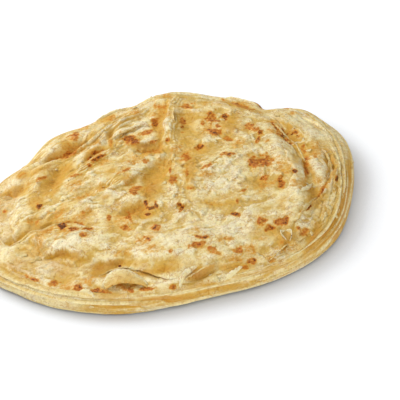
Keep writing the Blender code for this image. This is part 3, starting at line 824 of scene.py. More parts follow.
class Skin:
    # a closed skin that grows ring by ring: points with their fields, and faces
    names = ("x", "y", "z", *fieldNames)

    def __init__(self, angle):
        self.angle = angle
        self.columns = {name: [] for name in self.names}
        self.faces = []
        self.total = 0
        self.last = None

    def put(self, *values):
        count = len(values[0])
        for name, value in zip(self.names, values):
            self.columns[name].append(np.broadcast_to(np.asarray(value, float), count))
        self.total += count
        return self.total - count + np.arange(count)

    def ring(self, radius, level, *fields):
        fields = fields or (0.0,) * 4
        made = self.put(radius * np.cos(self.angle), radius * np.sin(self.angle), level, *fields)
        if self.last is not None:
            self.faces.append(np.stack([self.last, made, np.roll(made, -1), np.roll(self.last, -1)], -1))
        self.last = made
        return made

    def lid(self, ring, level, below=True):
        # closes a ring with a fan of triangles round the coil's centre
        tip = self.put([0.0], [0.0], [level], 0.0, 0.0, 0.0, 0.0)
        order = (ring, np.roll(ring, -1)) if below else (np.roll(ring, -1), ring)
        self.faces.append(np.stack([order[0], np.full_like(ring, tip[0]), order[1]], -1))

    def finish(self, name):
        fields = {key: np.concatenate(parts) for key, parts in self.columns.items()}
        x, y, z = (fields[key] for key in "xyz")
        fields["toastAndShade"] = np.maximum(fields["toastAndShade"], spotField(x, y, z))
        soaked = soakedAndShadeField(x, y, z)
        fields["oilAndShade"] = np.maximum(fields["oilAndShade"], soaked)
        fields["airyAndLight"] = fields["airyAndLight"] - np.where(soaked > 0, 0.3, 0.9) * soaked
        across, along = breadSpec["centre"]
        points = np.stack([fields["x"] + across, fields["y"] + along, fields["z"]], -1)
        bare = (fields["deep"] < 0.1) * (fields["toastAndShade"] < flakeSpec["mostToast"])
        fields["strewn"] = strewnField(x, y, z) * bare
        faces = [face for part in self.faces for face in part.tolist()]
        mesh = bpy.data.meshes.new(name)
        mesh.from_pydata((points * mm).tolist(), [], faces)
        addFields(mesh, {key: fields[key] for key in (*fieldNames, "strewn")})
        return addObject(name, mesh)


# How the disc's edge turns under: inwards and down in mm, and the painted shade it gets from lying deep in
# the gap.
underEdge = ((0.0, 0.5, 0.2), (0.8, 0.9, 0.8), (2.4, 1.8, 1.0), (3.4, 4.5, 1.0))
lidLevels = {"disc": 6.0, "wrapTop": 7.0, "wrapFoot": 0.0}  # the heights of the hidden faces inside, in mm


def makeTopSheet():
    # the inner disc, with an edge that turns under over the gap
    cells = breadSpec["discCells"]
    share, angle = gridToDisc(cells)
    radius, z, oilAndShade, toastAndShade, airyAndLight = discFields(share * discRadius(angle), angle)
    rim = gridRim(cells)
    skin = Skin(angle[rim])
    index = skin.put(radius * np.cos(angle), radius * np.sin(angle), z, oilAndShade, toastAndShade, airyAndLight, 0.0)
    grid = index.reshape(cells + 1, cells + 1)
    quads = np.stack([grid[:-1, :-1], grid[:-1, 1:], grid[1:, 1:], grid[1:, :-1]], -1)
    skin.faces.append(quads.reshape(-1, 4))
    skin.last = index[rim]
    for inset, drop, deep in underEdge:
        skin.ring(radius[rim] - inset, z[rim] - drop, oilAndShade[rim], toastAndShade[rim], airyAndLight[rim], deep)
    skin.lid(skin.last, lidLevels["disc"])
    return skin.finish("topSheet")


# The wrap's foot, from the rim to under the bread: outwards from the foot's line, and height, in mm.
footRings = ((3, 0.6), (1, 0.15), (-1, 0.0), (-14, 0.0), (-40, 0.0))


def makeLastWrap():
    angle = np.arange(breadSpec["roundSteps"]) / breadSpec["roundSteps"] * math.tau
    skin = Skin(angle)
    first = None
    for ring in wrapRings(angle):
        made = skin.ring(*ring)
        first = made if first is None else first
    foot = outlineRadius(angle) - breadSpec["footInset"]
    for outward, height in footRings:
        skin.ring(foot + outward, np.full_like(foot, height))
    skin.lid(skin.last, lidLevels["wrapFoot"])
    skin.lid(first, lidLevels["wrapTop"], below=False)
    return skin.finish("lastWrap")


freeEdgeShare = 0.35  # a leaf thins out to this share of its thickness


def thinLeaf(name, grid, thickness, oilAndShade=0.0, toastAndShade=0.0, airyAndLight=0.0, centre=breadSpec["centre"]):
    # a closed thin sheet of dough over a grid of points: rows from the root to the free edge
    rows, columns = grid.shape[:2]
    normal = np.cross(np.gradient(grid, axis=1), np.gradient(grid, axis=0))
    normal /= np.maximum(np.linalg.norm(normal, axis=-1, keepdims=True), 1e-9)
    normal *= np.sign(normal[..., 2:3].mean()) or 1
    edge = np.ones((rows, columns, 1)) * thickness / 2
    for border in (edge[-1], edge[:, 0], edge[:, -1]):
        border *= freeEdgeShare
    points = np.concatenate([(grid + normal * edge).reshape(-1, 3), (grid - normal * edge).reshape(-1, 3)])
    index = np.arange(rows * columns).reshape(rows, columns)
    quads = np.stack([index[:-1, :-1], index[:-1, 1:], index[1:, 1:], index[1:, :-1]], -1).reshape(-1, 4)
    faces = quads.tolist() + (quads[:, ::-1] + rows * columns).tolist()
    border = np.concatenate([index[0, :-1], index[:-1, -1], index[-1, :0:-1], index[:0:-1, 0]])
    after = np.roll(border, -1)
    faces += np.stack([after, border, border + rows * columns, after + rows * columns], -1).tolist()
    mesh = bpy.data.meshes.new(name)
    mesh.from_pydata(((points + (*centre, 0)) * mm).tolist(), [], faces)
    work = bmesh.new()
    work.from_mesh(mesh)
    bmesh.ops.recalc_face_normals(work, faces=work.faces)
    work.to_mesh(mesh)
    work.free()
    values = (np.broadcast_to(value, (rows, columns)) for value in (oilAndShade, toastAndShade, airyAndLight, 0.0))
    addFields(mesh, {key: np.tile(value.ravel(), 2) for key, value in zip(fieldNames, values)})
    return addObject(name, mesh)


# Thin leaves that peel off the rim: first and last direction in degrees, shares of the way down the wrap
# where each starts and ends, how far the free edge stands off, and how ragged that edge is.
rimLeaves = (
    (-196, -84, 0.36, 0.50, 1.0, 0.045),
    (-178, -50, 0.56, 0.66, 0.7, 0.035),
    (-150, -40, 0.76, 0.83, 0.5, 0.020),
    (-98, -6, 0.44, 0.51, 0.4, 0.020),
    (-80, 12, 0.28, 0.35, 0.3, 0.020),
    (-62, 34, 0.56, 0.63, 0.3, 0.018),
    (-40, 50, 0.36, 0.42, 0.3, 0.016),
    (92, 182, 0.44, 0.55, 0.9, 0.030),
    (52, 150, 0.60, 0.68, 0.8, 0.030),
    (16, 100, 0.48, 0.56, 0.8, 0.025),
    (128, 215, 0.66, 0.75, 0.8, 0.030),
    (30, 122, 0.76, 0.82, 0.6, 0.018),
)
leafThickness = 0.55
leafRoot = 0.7  # how deep a leaf's root is sunk into the rim
leafSteps = (3.2, 7)  # points to a degree, and rows from the root to the free edge
# Where the top leaf hangs lower over the rim: (direction, half width, share of the way down).
lipDroop = ((-111, 8, 0.05), (-140, 14, -0.03))


def makeRimLeaves():
    made = []
    for place, (first, last, start, stop, off, ragged) in enumerate(rimLeaves):
        steps = int(abs(last - first) * leafSteps[0])
        angle = np.radians(np.linspace(first, last, steps))
        ends = np.sin(math.pi * np.linspace(0, 1, steps)) ** 0.4
        wave = spaceRoundNoise(angle, 5, place + 0.5, 51)
        tear = spaceRoundNoise(angle, 22, place + 0.5, 52)
        reach = (stop - start) * ends + ragged * ends * (wave + 0.5 * tear)
        if place == 0:
            reach = reach + swell(angle, lipDroop)
        rows = []
        for share in np.linspace(0, 1, leafSteps[1]):
            ruffle = 0.35 * spaceRoundNoise(angle, 11, place + share, 53)
            rise = -leafRoot + (off + leafRoot) * ends * share**0.8 + ruffle * share
            radius, level, *_ = wrapPlace(angle, start + reach * share, rise)
            rows.append(np.stack([radius * np.cos(angle), radius * np.sin(angle), level], -1))
        down = np.linspace(0, 1, leafSteps[1])[:, None]
        name = "rimLeaf" + str(place + 1)
        made.append(thinLeaf(name, np.array(rows), leafThickness, 0.35 * (1 - down), 0.0, down**2 - 0.3))
    return made


# The flap that lifts off the front seam: its root and its free edge as arcs, with their heights.
frontFlap = {
    "root": ((-37, -83.5), (-27.5, -76), (-14.5, -88)),
    "edge": ((-35.5, -86.5), (-24.5, -87), (-14.8, -90.5)),
    "rootLevel": 12.6,
    "edgeLevel": 12.0,
    "rootRise": 2.6,  # how far the middle of the rim, and of the free edge, stands over the ends
    "edgeRise": 2.2,
    "bulge": 1.0,
    "thickness": 0.6,
    # the pale rim is a painted highlight along the flap's top
    "paleRim": 0.09,  # the pale rim's place and half width, as a share of the way to the free edge
    "cells": (40, 14),  # along the arcs and between them
}


def makeFrontFlap():
    # a low dome: it starts behind its own pale rim, a painted highlight, and its free edge arches over the
    # crust in front
    steps, rows = frontFlap["cells"]
    root = arcPoints(*frontFlap["root"], steps=steps)
    edge = arcPoints(*frontFlap["edge"], steps=steps)
    along = np.linspace(0, 1, steps + 1)
    arch = np.sin(math.pi * along) ** 0.8
    rim = frontFlap["rootLevel"] + frontFlap["rootRise"] * arch
    free = frontFlap["edgeLevel"] + frontFlap["edgeRise"] * arch
    grid = [np.column_stack([root + (0, 1.6), rim - 2.4])]
    for share in np.linspace(0, 1, rows - 1):
        stray = pattern("flapStray", 7 * along, 7 * along) * share
        flat = root * (1 - share) + edge * share + stray[:, None]
        ripple = 0.2 * np.sin(9 * along + 5 * share)
        bulge = frontFlap["bulge"] * arch * math.sin(math.pi * share)
        level = rim * (1 - share) + free * share + bulge + ripple
        grid.append(np.column_stack([flat, level]))
    down = np.linspace(0, 1, rows)[:, None]
    # a painted highlight along the rim
    airyAndLight = 1.9 * bell(down - frontFlap["paleRim"], frontFlap["paleRim"]) + 0.3
    oilAndShade = 0.4 * ramp((down - 0.2) / 0.5)
    return thinLeaf("frontFlap", np.array(grid), frontFlap["thickness"], oilAndShade, 0.3 * down**4, airyAndLight)


# Thin curls of dough along torn edges: arcs, then how high they stand and how far they lean to the arc's
# left. Those that lean to its right hang over a hollow.
curls = (
    (((57, -73), (55, -69), (57.5, -66.5)), 1.8, 0.5),
    (((57.5, -66.5), (60, -69), (58.5, -73)), 1.8, 0.5),
    (((57.5, -74), (53, -79), (46, -85)), 0.8, 1.2),
    (((1, -94), (5, -89), (11, -84)), 2.0, 1.8),
    (((-49, -84), (-45, -86), (-41, -91)), 1.4, 1.6),
    (((-95, 14), (-92, 12), (-88, 13)), 1.8, 1.5),
    (((20, -92), (26, -91), (33, -87)), 1.4, 1.6),
    (((70, -38), (75, -32), (78, -25)), 1.3, 1.4),
    (((10, 70), (8, 62), (9, 54)), 0.9, 1.0),
    (((84, 46), (90, 36), (95, 26)), 1.1, 1.2),
    (((40, 84), (50, 78), (60, 68)), 1.1, 1.2),
    (((-40, 84), (-30, 88), (-20, 90)), 1.1, 1.2),
    (((-98, -10), (-96, -22), (-90, -32)), 1.1, 1.2),
    (((3, -91), (10.5, -86.3), (22, -82)), 0.2, -1.4),
    (((93, 4), (89, -16), (82, -32)), 0.25, -1.6),
    (((79, -36), (72, -49), (65, -60)), 0.25, -1.4),
    (((87, -22), (90.5, -8), (88.5, 7)), 0.25, -1.6),
    (((-40, -73), (-32, -70), (-21, -76)), 0.2, -1.8),
    (((66, 40), (70, 31), (74, 20)), 0.15, -1.3),
    (((73, 24), (77, 10), (78, -4)), 0.15, -1.3),
    (((-57, -27), (-72, -30), (-88, -34)), 0.2, -1.4),
    (((-46, 52), (-32, 62), (-17, 74)), 0.3, -1.6),
    (((-30, 46), (-22, 50), (-10, 56)), 0.3, -1.6),
)
curlThickness = 0.45
curlSunk = 0.7  # how deep a curl's foot is sunk into the crust
curlSteps = (30, 5)  # steps along its arc, and rows from its foot to its free edge
lowCurl = 0.9  # curls up to this height are golden, and higher ones pale


def levelUnder(flat, grounds):
    # height of the crust under points in plan, taken from the nearest of its own points
    crust = []
    for ground in grounds:
        places = np.empty(3 * len(ground.data.vertices))
        ground.data.vertices.foreach_get("co", places)
        places = places.reshape(-1, 3) / mm - (*breadSpec["centre"], 0)
        crust.append(places[places[:, 2] > 9])
    crust = np.concatenate(crust)
    middle = flat.mean(axis=0)
    crust = crust[np.hypot(*(crust[:, :2] - middle).T) < 20]
    levels = []
    for place in flat:
        away = np.hypot(*(crust[:, :2] - place).T)
        levels.append(crust[away < max(1.0, away.min() + 0.1), 2].max())
    return np.array(levels)


def makeCurls(grounds):
    made = []
    for number, (path, height, lean) in enumerate(curls):
        line = arcPoints(*path, steps=curlSteps[0])
        run = np.gradient(line, axis=0)
        across = np.stack([-run[:, 1], run[:, 0]], -1) / np.hypot(*run.T)[:, None]
        along = np.linspace(0, 1, curlSteps[0] + 1)
        ends = np.sin(math.pi * along) ** 0.5
        torn = 1 + pattern("curlTears", 9 * along, 9 * along + number)
        jagged = 1 + pattern("curlEdge", 11 * along, 11 * along - number)
        level = levelUnder(line, grounds)
        level = np.convolve(np.pad(level, 2, mode="edge"), np.ones(5) / 5, mode="valid")
        rows = []
        for share in np.linspace(0, 1, curlSteps[1]):
            flat = line + across * (lean * jagged * share**1.3 * ends)[:, None]
            rise = -curlSunk + (curlSunk + height * torn) * ends * math.sin(0.5 * math.pi * share)
            rows.append(np.column_stack([flat, level + rise]))
        down = np.linspace(0, 1, curlSteps[1])[:, None]
        airyAndLight = 0.4 + 0.8 * down if height > lowCurl else 0.3 * down - 0.3
        made.append(thinLeaf("curl" + str(number + 1), np.array(rows), curlThickness, airyAndLight=airyAndLight))
    return made


def linear(hexColour):
    # an sRGB hex colour as the linear values that a shader takes
    values = [int(hexColour[i : i + 2], 16) / 255 for i in (1, 3, 5)]
    return tuple(v / 12.92 if v <= 0.04045 else ((v + 0.055) / 1.055) ** 2.4 for v in values) + (1.0,)


def addNode(tree, kind, inputs=None, stops=None, **settings):
    # one node: its settings, its ramp's colours, and a value or a link for each input
    node = tree.nodes.new(kind)
    for name, value in settings.items():
        setattr(node, name, value)
    for place, (position, colour) in enumerate(stops or ()):
        elements = node.color_ramp.elements
        stop = elements[place] if place < 2 else elements.new(position)
        stop.position = position
        stop.color = linear(colour) if isinstance(colour, str) else (colour, colour, colour, 1)
    for name, value in (inputs or {}).items():
        if isinstance(value, bpy.types.NodeSocket):
            tree.links.new(value, node.inputs[name])
        else:
            node.inputs[name].default_value = value
    return node


# The dough's colours (sRGB) and how it takes the light.
doughSpec = {
    "colours": {
        "oldCrust": "#D1AF5C", "freshCrust": "#DBC17C", "cream": "#ECDEAC", "tan": "#CAA554",
        "white": "#F2ECD0", "thinOil": "#D6B25A", "oiled": "#CFA03C", "thickOil": "#C4861E",
        "edgeFootShade": "#BC7E1C", "goldenBand": "#CA9A3E", "paleBand": "#F0DEA6", "groove": "#A86C14",
        "spotEdge": "#DAB55E", "golden": "#D29A3E", "brown": "#C4741E", "darkBrown": "#A85208",
        "spotMiddle": "#501600", "char": "#5A2E08", "pore": "#B98A3C",
    },
    "tornEdges": ((8, 5, 0.75), (4, 4, 0.7), (2.4, 3, 0.6)),  # grain in mm, detail, how strongly it shows
    "rimTop": 20.0,  # mm
    "shader": {
        "Subsurface Weight": 0.25,
        "Subsurface Radius": (1.0, 0.8, 0.45),
        "Subsurface Scale": 1.2 * mm,
        "Specular IOR Level": 0.1,
    },
}

# The kinds of node it is made of: Blender's name, the settings, the inputs in order, and the output.
doughKinds = {
    "noise": ("ShaderNodeTexNoise", {}, ("Vector", "Scale", "Detail", "Roughness"), "Fac"),
    "noiseColour": ("ShaderNodeTexNoise", {}, ("Vector", "Scale", "Detail"), "Color"),
    "dotColour": ("ShaderNodeTexVoronoi", {}, ("Vector", "Scale", "Randomness"), "Color"),
    "dotReach": ("ShaderNodeTexVoronoi", {}, ("Vector", "Scale", "Randomness"), "Distance"),
    "level": ("ShaderNodeSeparateXYZ", {}, (0,), "Z"),
    "stretch": ("ShaderNodeVectorMath", {"operation": "MULTIPLY"}, (0, 1), 0),
    "shift": ("ShaderNodeVectorMath", {"operation": "MULTIPLY_ADD"}, (0, 1, 2), 0),
    "add": ("ShaderNodeMath", {"operation": "ADD"}, (0, 1), 0),
    "times": ("ShaderNodeMath", {"operation": "MULTIPLY"}, (0, 1), 0),
    "timesAdd": ("ShaderNodeMath", {"operation": "MULTIPLY_ADD"}, (0, 1, 2), 0),
    "below": ("ShaderNodeMath", {"operation": "LESS_THAN"}, (0, 1), 0),
    "fade": ("ShaderNodeValToRGB", {}, ("Fac",), "Color"),
    "mix": ("ShaderNodeMix", {"data_type": "RGBA"}, (0, 6, 7), 2),
    "bump": ("ShaderNodeBump", {}, ("Height", "Strength", "Distance", "Normal"), "Normal"),
}


def doughRows():
    # one row a node: its name, its kind, then a number, a colour or an earlier row for each input. A noise
    # has its grain in mm, its detail and its roughness, and a fade ends with its stops. A row with the name
    # of an earlier one takes its place from there on.
    yield from (
        ("stain", "noise", "place", 24, 4, 0.55),
        ("base", "fade", "stain", (0.38, "oldCrust"), (0.62, "freshCrust")),
        ("grit", "noise", "place", 1.1, 3, 0.6),
        ("grain", "timesAdd", "grit", 0.38, -0.19),
        # the airy-and-light field makes crests and torn edges paler and grooves darker: partly dry dough,
        # partly painted highlight and shade
        ("broad", "timesAdd", "airyAndLight", 0.42, "grain"),
        ("layering", "noise", "place", 2.4, 6, 0.7),
        ("layers", "timesAdd", "layering", 0.9, "broad"),
        ("isCream", "fade", "layers", (0.26, 0.0), (0.66, 1.0)),
        ("isTan", "fade", "layers", (0.08, 0.65), (0.46, 0.0)),
        ("isWhite", "fade", "layers", (0.72, 0.0), (1.0, 0.7)),
        ("crust", "mix", "isCream", "base", "cream"),
        ("crust", "mix", "isTan", "crust", "tan"),
        ("crust", "mix", "isWhite", "crust", "white"),
        ("oilGrain", "noise", "place", 6, 6, 0.65),
        ("oilStray", "timesAdd", "oilGrain", 0.9, -0.45),
        ("oilAndShadeEdge", "add", "oilAndShade", "oilStray"),
        # the golden colours follow the oil-and-shade field: soaked fat, and painted shade in hollows, gaps
        # and under torn edges
        ("oilAndShadeColour", "fade", "oilAndShadeEdge", (0.2, "thinOil"), (0.55, "oiled"), (1.0, "thickOil")),
        ("isSoakedAndShaded", "fade", "oilAndShadeEdge", (0.08, 0.0), (0.5, 0.85)),
        ("crust", "mix", "isSoakedAndShaded", "crust", "oilAndShadeColour"),
        ("isDry", "fade", "oilAndShadeEdge", (0.05, 1.0), (0.4, 0.0)),
    )
    # each torn edge gets a darker foot line of painted shade and a pale edge line, a painted highlight where
    # the dough is dry
    for size, detail, strength in doughSpec["tornEdges"]:
        yield from (
            ("contour", "noise", "place", size, detail, 0.6),
            ("patches", "noise", "place", 1.7 * size, 3, 0.55),
            ("isShown", "fade", "patches", (0.48, 0.0), (0.56, strength)),
            ("footShadeLine", "fade", "contour", (0.455, 0.0), (0.492, 1.0), (0.5, 0.0)),
            ("edgeHighlightLine", "fade", "contour", (0.498, 0.0), (0.506, 1.0), (0.535, 0.0)),
            ("isFootShade", "times", "footShadeLine", "isShown"),
            ("isEdgeHighlight", "times", "edgeHighlightLine", "isShown"),
            ("isDryEdgeHighlight", "times", "isEdgeHighlight", "isDry"),
            ("crust", "mix", "isFootShade", "crust", "edgeFootShade"),
            ("crust", "mix", "isDryEdgeHighlight", "crust", "white"),
        )
    # the edges of the layers show as pale and golden bands round the rim
    yield from (
        ("height", "level", "place"),
        ("heightShare", "times", "height", 1 / (doughSpec["rimTop"] * mm)),
        ("onRim", "fade", "heightShare", (0.5, 1.0), (0.66, 0.0)),
        ("flat", "stretch", "place", (0.1, 0.1, 1.0)),
        ("bands", "noise", "flat", 2.6, 3, 0.6),
        ("goldenLine", "fade", "bands", (0.36, 0.7), (0.5, 0.0)),
        ("isGolden", "times", "goldenLine", "onRim"),
        ("crust", "mix", "isGolden", "crust", "goldenBand"),
        ("paleLine", "fade", "bands", (0.5, 0.0), (0.6, 0.6)),
        ("lessOilAndShade", "fade", "oilAndShade", (0.3, 1.0), (0.9, 0.15)),
        ("paleRim", "times", "onRim", "lessOilAndShade"),
        ("isPale", "times", "paleLine", "paleRim"),
        ("crust", "mix", "isPale", "crust", "paleBand"),
        # the groove colour is painted shade, laid deep in gaps and grooves
        ("isGrooveShade", "times", "deep", 0.75),
        ("crust", "mix", "isGrooveShade", "crust", "groove"),
    )
    # browned spots, char specks and pores
    yield from (
        ("fleckGrain", "noise", "place", 1.8, 5, 0.75),
        ("flecks", "timesAdd", "fleckGrain", 4.0, -0.95),
        ("toastAndShadeEdge", "times", "toastAndShade", "flecks"),
        # the browned colours follow the toast-and-shade field, so a few of them are painted shade
        ("brownedAndShaded", "fade", "toastAndShadeEdge",
            (0.16, "spotEdge"), (0.38, "golden"), (0.6, "brown"), (0.84, "darkBrown"), (1.0, "spotMiddle")),
        ("isBrownedAndShaded", "fade", "toastAndShadeEdge", (0.1, 0.0), (0.36, 0.95)),
        ("crust", "mix", "isBrownedAndShaded", "crust", "brownedAndShaded"),
        ("bent", "noiseColour", "place", 1.6, 2),
        ("shifted", "shift", "bent", (1.4 * mm,) * 3, "place"),
        ("dotChance", "dotColour", "shifted", 3.0, 1.0),
        ("dotAway", "dotReach", "shifted", 3.0, 1.0),
        ("chance", "timesAdd", "toastAndShade", 0.45, "dotChance"),
        ("dotSize", "timesAdd", "chance", 0.34, -0.2108),
        ("isDot", "below", "dotAway", "dotSize"),
        ("isChar", "times", "isDot", 0.8),
        ("crust", "mix", "isChar", "crust", "char"),
        ("poreGrain", "noise", "place", 1.5, 4, 0.75),
        ("isPore", "fade", "poreGrain", (0.28, 0.75), (0.5, 0.0)),
        ("crust", "mix", "isPore", "crust", "pore"),
    )
    # how dull it is, and its finest relief
    yield from (
        ("sheen", "noise", "place", 3.5, 4, 0.55),
        ("dullness", "fade", "sheen", (0.3, 0.62), (0.7, 0.42)),
        ("pits", "noise", "place", 1.2, 4, 0.65),
        ("pitted", "bump", "pits", 0.85, 0.6 * mm),
        ("tears", "noise", "place", 8, 5, 0.6),
        ("steps", "fade", "tears", (0.49, 0.0), (0.506, 1.0)),
        ("stepped", "bump", "steps", 0.7, 0.4 * mm, "pitted"),
        ("lumps", "noise", "place", 5, 4, 0.6),
        ("surface", "bump", "lumps", 0.4, 1.0 * mm, "stepped"),
    )


def friedDough():
    # wheat dough fried on a greased pan: a matt cream crust, golden and see-through where the fat soaked in,
    # and browned where it lay on the pan, with painted shade in hollows, gaps and grooves and painted
    # highlights on crests
    material = bpy.data.materials.new("friedDough")
    material.use_nodes = True
    tree = material.node_tree
    colours = doughSpec["colours"]
    made = {name: linear(colour) for name, colour in colours.items()}
    made["place"] = addNode(tree, "ShaderNodeTexCoord").outputs["Object"]
    for field in fieldNames:
        made[field] = addNode(tree, "ShaderNodeAttribute", attribute_name=field).outputs["Fac"]
    for name, kind, *values in doughRows():
        blenderName, settings, sockets, output = doughKinds[kind]
        inputs = dict(zip(sockets, (made.get(value, value) for value in values)))
        if "Scale" in inputs:
            inputs["Scale"] = 1 / (inputs["Scale"] * mm)
        stops = [(place, colours.get(colour, colour)) for place, colour in values[len(sockets):]]
        made[name] = addNode(tree, blenderName, inputs, stops, **settings).outputs[output]
    shader = tree.nodes["Principled BSDF"]
    for name, socket in (("crust", "Base Color"), ("dullness", "Roughness"), ("surface", "Normal")):
        tree.links.new(made[name], shader.inputs[socket])
    for name, value in doughSpec["shader"].items():
        shader.inputs[name].default_value = value
    return material


# Crumbs and peeled flakes of crust that lie on the upper face and stick out round the rim.
flakeSpec = {
    "perSquareMetre": 12000,
    "smallest": 0.5,  # times the flake's own size
    "largest": 1.5,
    "seed": 7,
    "length": 2.6,
    "width": 1.9,
    "thickness": 0.22,
    "curl": 0.4,
    "sparseReach": 50,  # within this distance of the centre only few flakes lie
    "leastStrewn": 0.03,
    "lowest": 4.0,  # no flakes below this height
    "mostToast": 0.25,  # and none where the crust is browner
    "tilt": 0.15,  # radians
    "points": (6, 3),  # along and across one flake
}

# The inputs of the flakes' node tree, and their kinds.
flakeInputs = {
    "Geometry": "Geometry", "Density": "Float", "Smallest": "Float", "Largest": "Float", "Seed": "Int",
    "Second Ground": "Object",
}


def makeOneFlake():
    # a curled scrap of a layer, which the flakes are copies of
    columns, rows = flakeSpec["points"]
    along, across = np.meshgrid(np.linspace(-1, 1, columns), np.linspace(-1, 1, rows))
    width = flakeSpec["width"] / 2 * (1 - 0.55 * along**2) * (1 + 0.25 * np.sin(5 * along))
    x = flakeSpec["length"] / 2 * along
    z = flakeSpec["curl"] * (0.5 * (along + 1)) ** 2 + 0.15 * across * along
    grid = np.stack([x, across * width, z], -1)
    return thinLeaf("flake", grid, flakeSpec["thickness"], toastAndShade=0.1, airyAndLight=0.2, centre=(0, 0))


def flakeTree(flake, dough):
    # scatters the flake over the faces that the attribute "strewn" picks, each turned and sized at random
    tree = bpy.data.node_groups.new("strewFlakes", "GeometryNodeTree")
    for name, kind in flakeInputs.items():
        tree.interface.new_socket(name, in_out="INPUT", socket_type="NodeSocket" + kind)
    tree.interface.new_socket("Geometry", in_out="OUTPUT", socket_type="NodeSocketGeometry")
    given = tree.nodes.new("NodeGroupInput").outputs
    strewn = addNode(tree, "GeometryNodeInputNamedAttribute", {"Name": "strewn"}, data_type="FLOAT")
    amount = {0: given["Density"], 1: strewn.outputs["Attribute"]}
    density = addNode(tree, "ShaderNodeMath", amount, operation="MULTIPLY")
    second = addNode(tree, "GeometryNodeObjectInfo", {"Object": given["Second Ground"]})
    both = addNode(tree, "GeometryNodeJoinGeometry", {"Geometry": given["Geometry"]})
    tree.links.new(second.outputs["Geometry"], both.inputs["Geometry"])
    points = addNode(tree, "GeometryNodeDistributePointsOnFaces", {
        "Mesh": both.outputs[0], "Density": density.outputs[0], "Seed": given["Seed"],
    })
    tilt = flakeSpec["tilt"]
    turns = {0: (-tilt, -tilt, 0.0), 1: (tilt, tilt, math.tau), "Seed": 1}
    spin = addNode(tree, "FunctionNodeRandomValue", turns, data_type="FLOAT_VECTOR")
    rotations = {0: points.outputs["Rotation"], 1: spin.outputs[0]}
    turned = addNode(tree, "FunctionNodeRotateEuler", rotations, space="LOCAL")
    sizes = {2: given["Smallest"], 3: given["Largest"], "Seed": 2}
    size = addNode(tree, "FunctionNodeRandomValue", sizes, data_type="FLOAT")
    source = addNode(tree, "GeometryNodeObjectInfo", {"Object": flake})
    placed = addNode(tree, "GeometryNodeInstanceOnPoints", {
        "Points": points.outputs["Points"], "Instance": source.outputs["Geometry"],
        "Rotation": turned.outputs[0], "Scale": size.outputs[1],
    })
    solid = addNode(tree, "GeometryNodeRealizeInstances", {"Geometry": placed.outputs[0]})
    coated = addNode(tree, "GeometryNodeSetMaterial", {"Geometry": solid.outputs[0], "Material": dough})
    tree.links.new(coated.outputs[0], tree.nodes.new("NodeGroupOutput").inputs[0])
    return tree


def strewFlakes(ground, secondGround, dough):
    # one plain mesh of all the flakes, over the last wrap and the disc
    flake = makeOneFlake()
    tree = flakeTree(flake, dough)
    modifier = ground.modifiers.new("flakes", "NODES")
    modifier.node_group = tree
    sockets = {item.name: item.identifier for item in tree.interface.items_tree if item.in_out == "INPUT"}
    modifier[sockets["Density"]] = float(flakeSpec["perSquareMetre"])
    modifier[sockets["Smallest"]] = flakeSpec["smallest"]
    modifier[sockets["Largest"]] = flakeSpec["largest"]
    modifier[sockets["Seed"]] = flakeSpec["seed"]
    modifier[sockets["Second Ground"]] = secondGround
    seen = ground.evaluated_get(bpy.context.evaluated_depsgraph_get())
    mesh = bpy.data.meshes.new_from_object(seen)
    ground.modifiers.remove(modifier)
    bpy.data.objects.remove(flake)
    return addObject("flakes", mesh)


def makeCamera():
    right, up, back = cameraAxes()
    axes = Matrix((right, up, back)).transposed().to_4x4()
    axes.translation = (Vector(cameraSpec["aim"]) + cameraSpec["distance"] * back) * mm
    data = bpy.data.cameras.new("camera")
    data.lens = cameraSpec["lens"]
    data.sensor_width = cameraSpec["sensor"]
    camera = addObject("camera", data)
    camera.matrix_world = axes
    bpy.context.scene.camera = camera


# A large soft lamp behind on the left, a weak one in front, and an even studio round the bread.
lightSpec = {
    "softbox": {"place": (-460, 330, 500), "size": 480, "power": 4.75, "colour": "#FFFDF8"},
    "frontFill": {"place": (60, -660, 300), "size": 600, "power": 2.3, "colour": "#FFFFFF"},
}
studioSpec = {"colour": "#FFFCF4", "strength": 0.49}


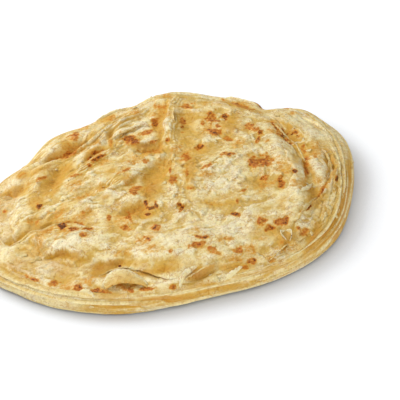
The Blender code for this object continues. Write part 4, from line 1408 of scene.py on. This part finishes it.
def makeLights():
    for name, spec in lightSpec.items():
        data = bpy.data.lights.new(name, "AREA")
        data.energy = spec["power"]
        data.size = spec["size"] * mm
        data.color = linear(spec["colour"])[:3]
        lamp = addObject(name, data)
        lamp.location = Vector(spec["place"]) * mm
        lamp.rotation_euler = (-lamp.location).to_track_quat("-Z", "Y").to_euler()
    world = bpy.data.worlds.new("studio")
    world.use_nodes = True
    background = world.node_tree.nodes["Background"].inputs
    background["Color"].default_value = linear(studioSpec["colour"])
    background["Strength"].default_value = studioSpec["strength"]
    bpy.context.scene.world = world
    bpy.context.scene.view_settings.view_transform = "Standard"


# A white sheet lit from below like a light table, but for the dark line where the bread touches it: there the
# glow is dimmed by ambient occlusion, a painted contact shadow.
floorSpec = {
    "halfWidth": 12.0,  # metres
    "colour": "#BCC0C8",
    "roughness": 0.9,
    "glowColour": "#FFFFFF",
    "glow": 0.55,
    "shadowReach": 24,
    "shadowPower": 2.0,
}


def makeFloor():
    mesh = bpy.data.meshes.new("floor")
    half = floorSpec["halfWidth"]
    corners = [(-half, -half, 0), (half, -half, 0), (half, half, 0), (-half, half, 0)]
    mesh.from_pydata(corners, [], [(0, 1, 2, 3)])
    floor = addObject("floor", mesh)
    material = bpy.data.materials.new("whiteSweep")
    material.use_nodes = True
    tree = material.node_tree
    shader = tree.nodes["Principled BSDF"]
    shader.inputs["Base Color"].default_value = linear(floorSpec["colour"])
    shader.inputs["Roughness"].default_value = floorSpec["roughness"]
    shader.inputs["Emission Color"].default_value = linear(floorSpec["glowColour"])
    reach = {"Distance": floorSpec["shadowReach"] * mm}
    # the glow is dimmed by ambient occlusion near the bread: a painted contact shadow
    bare = addNode(tree, "ShaderNodeAmbientOcclusion", reach, samples=8).outputs["AO"]
    power = {0: bare, 1: floorSpec["shadowPower"]}
    glow = addNode(tree, "ShaderNodeMath", power, operation="POWER").outputs[0]
    shine = addNode(tree, "ShaderNodeMath", {0: glow, 1: floorSpec["glow"]}, operation="MULTIPLY").outputs[0]
    tree.links.new(shine, shader.inputs["Emission Strength"])
    mesh.materials.append(material)


print("camera, light and floor")
makeCamera()
makeLights()
makeFloor()

print("last wrap and inner disc")
dough = friedDough()
lastWrap = makeLastWrap()
topSheet = makeTopSheet()

print("leaves, flap and curls")
pieces = [lastWrap, topSheet, *makeRimLeaves(), makeFrontFlap(), *makeCurls((lastWrap, topSheet))]

print("flakes")
pieces.append(strewFlakes(lastWrap, topSheet, dough))
for piece in pieces:
    if not piece.data.materials:
        piece.data.materials.append(dough)
    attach(piece, "root")
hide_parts("chapati")
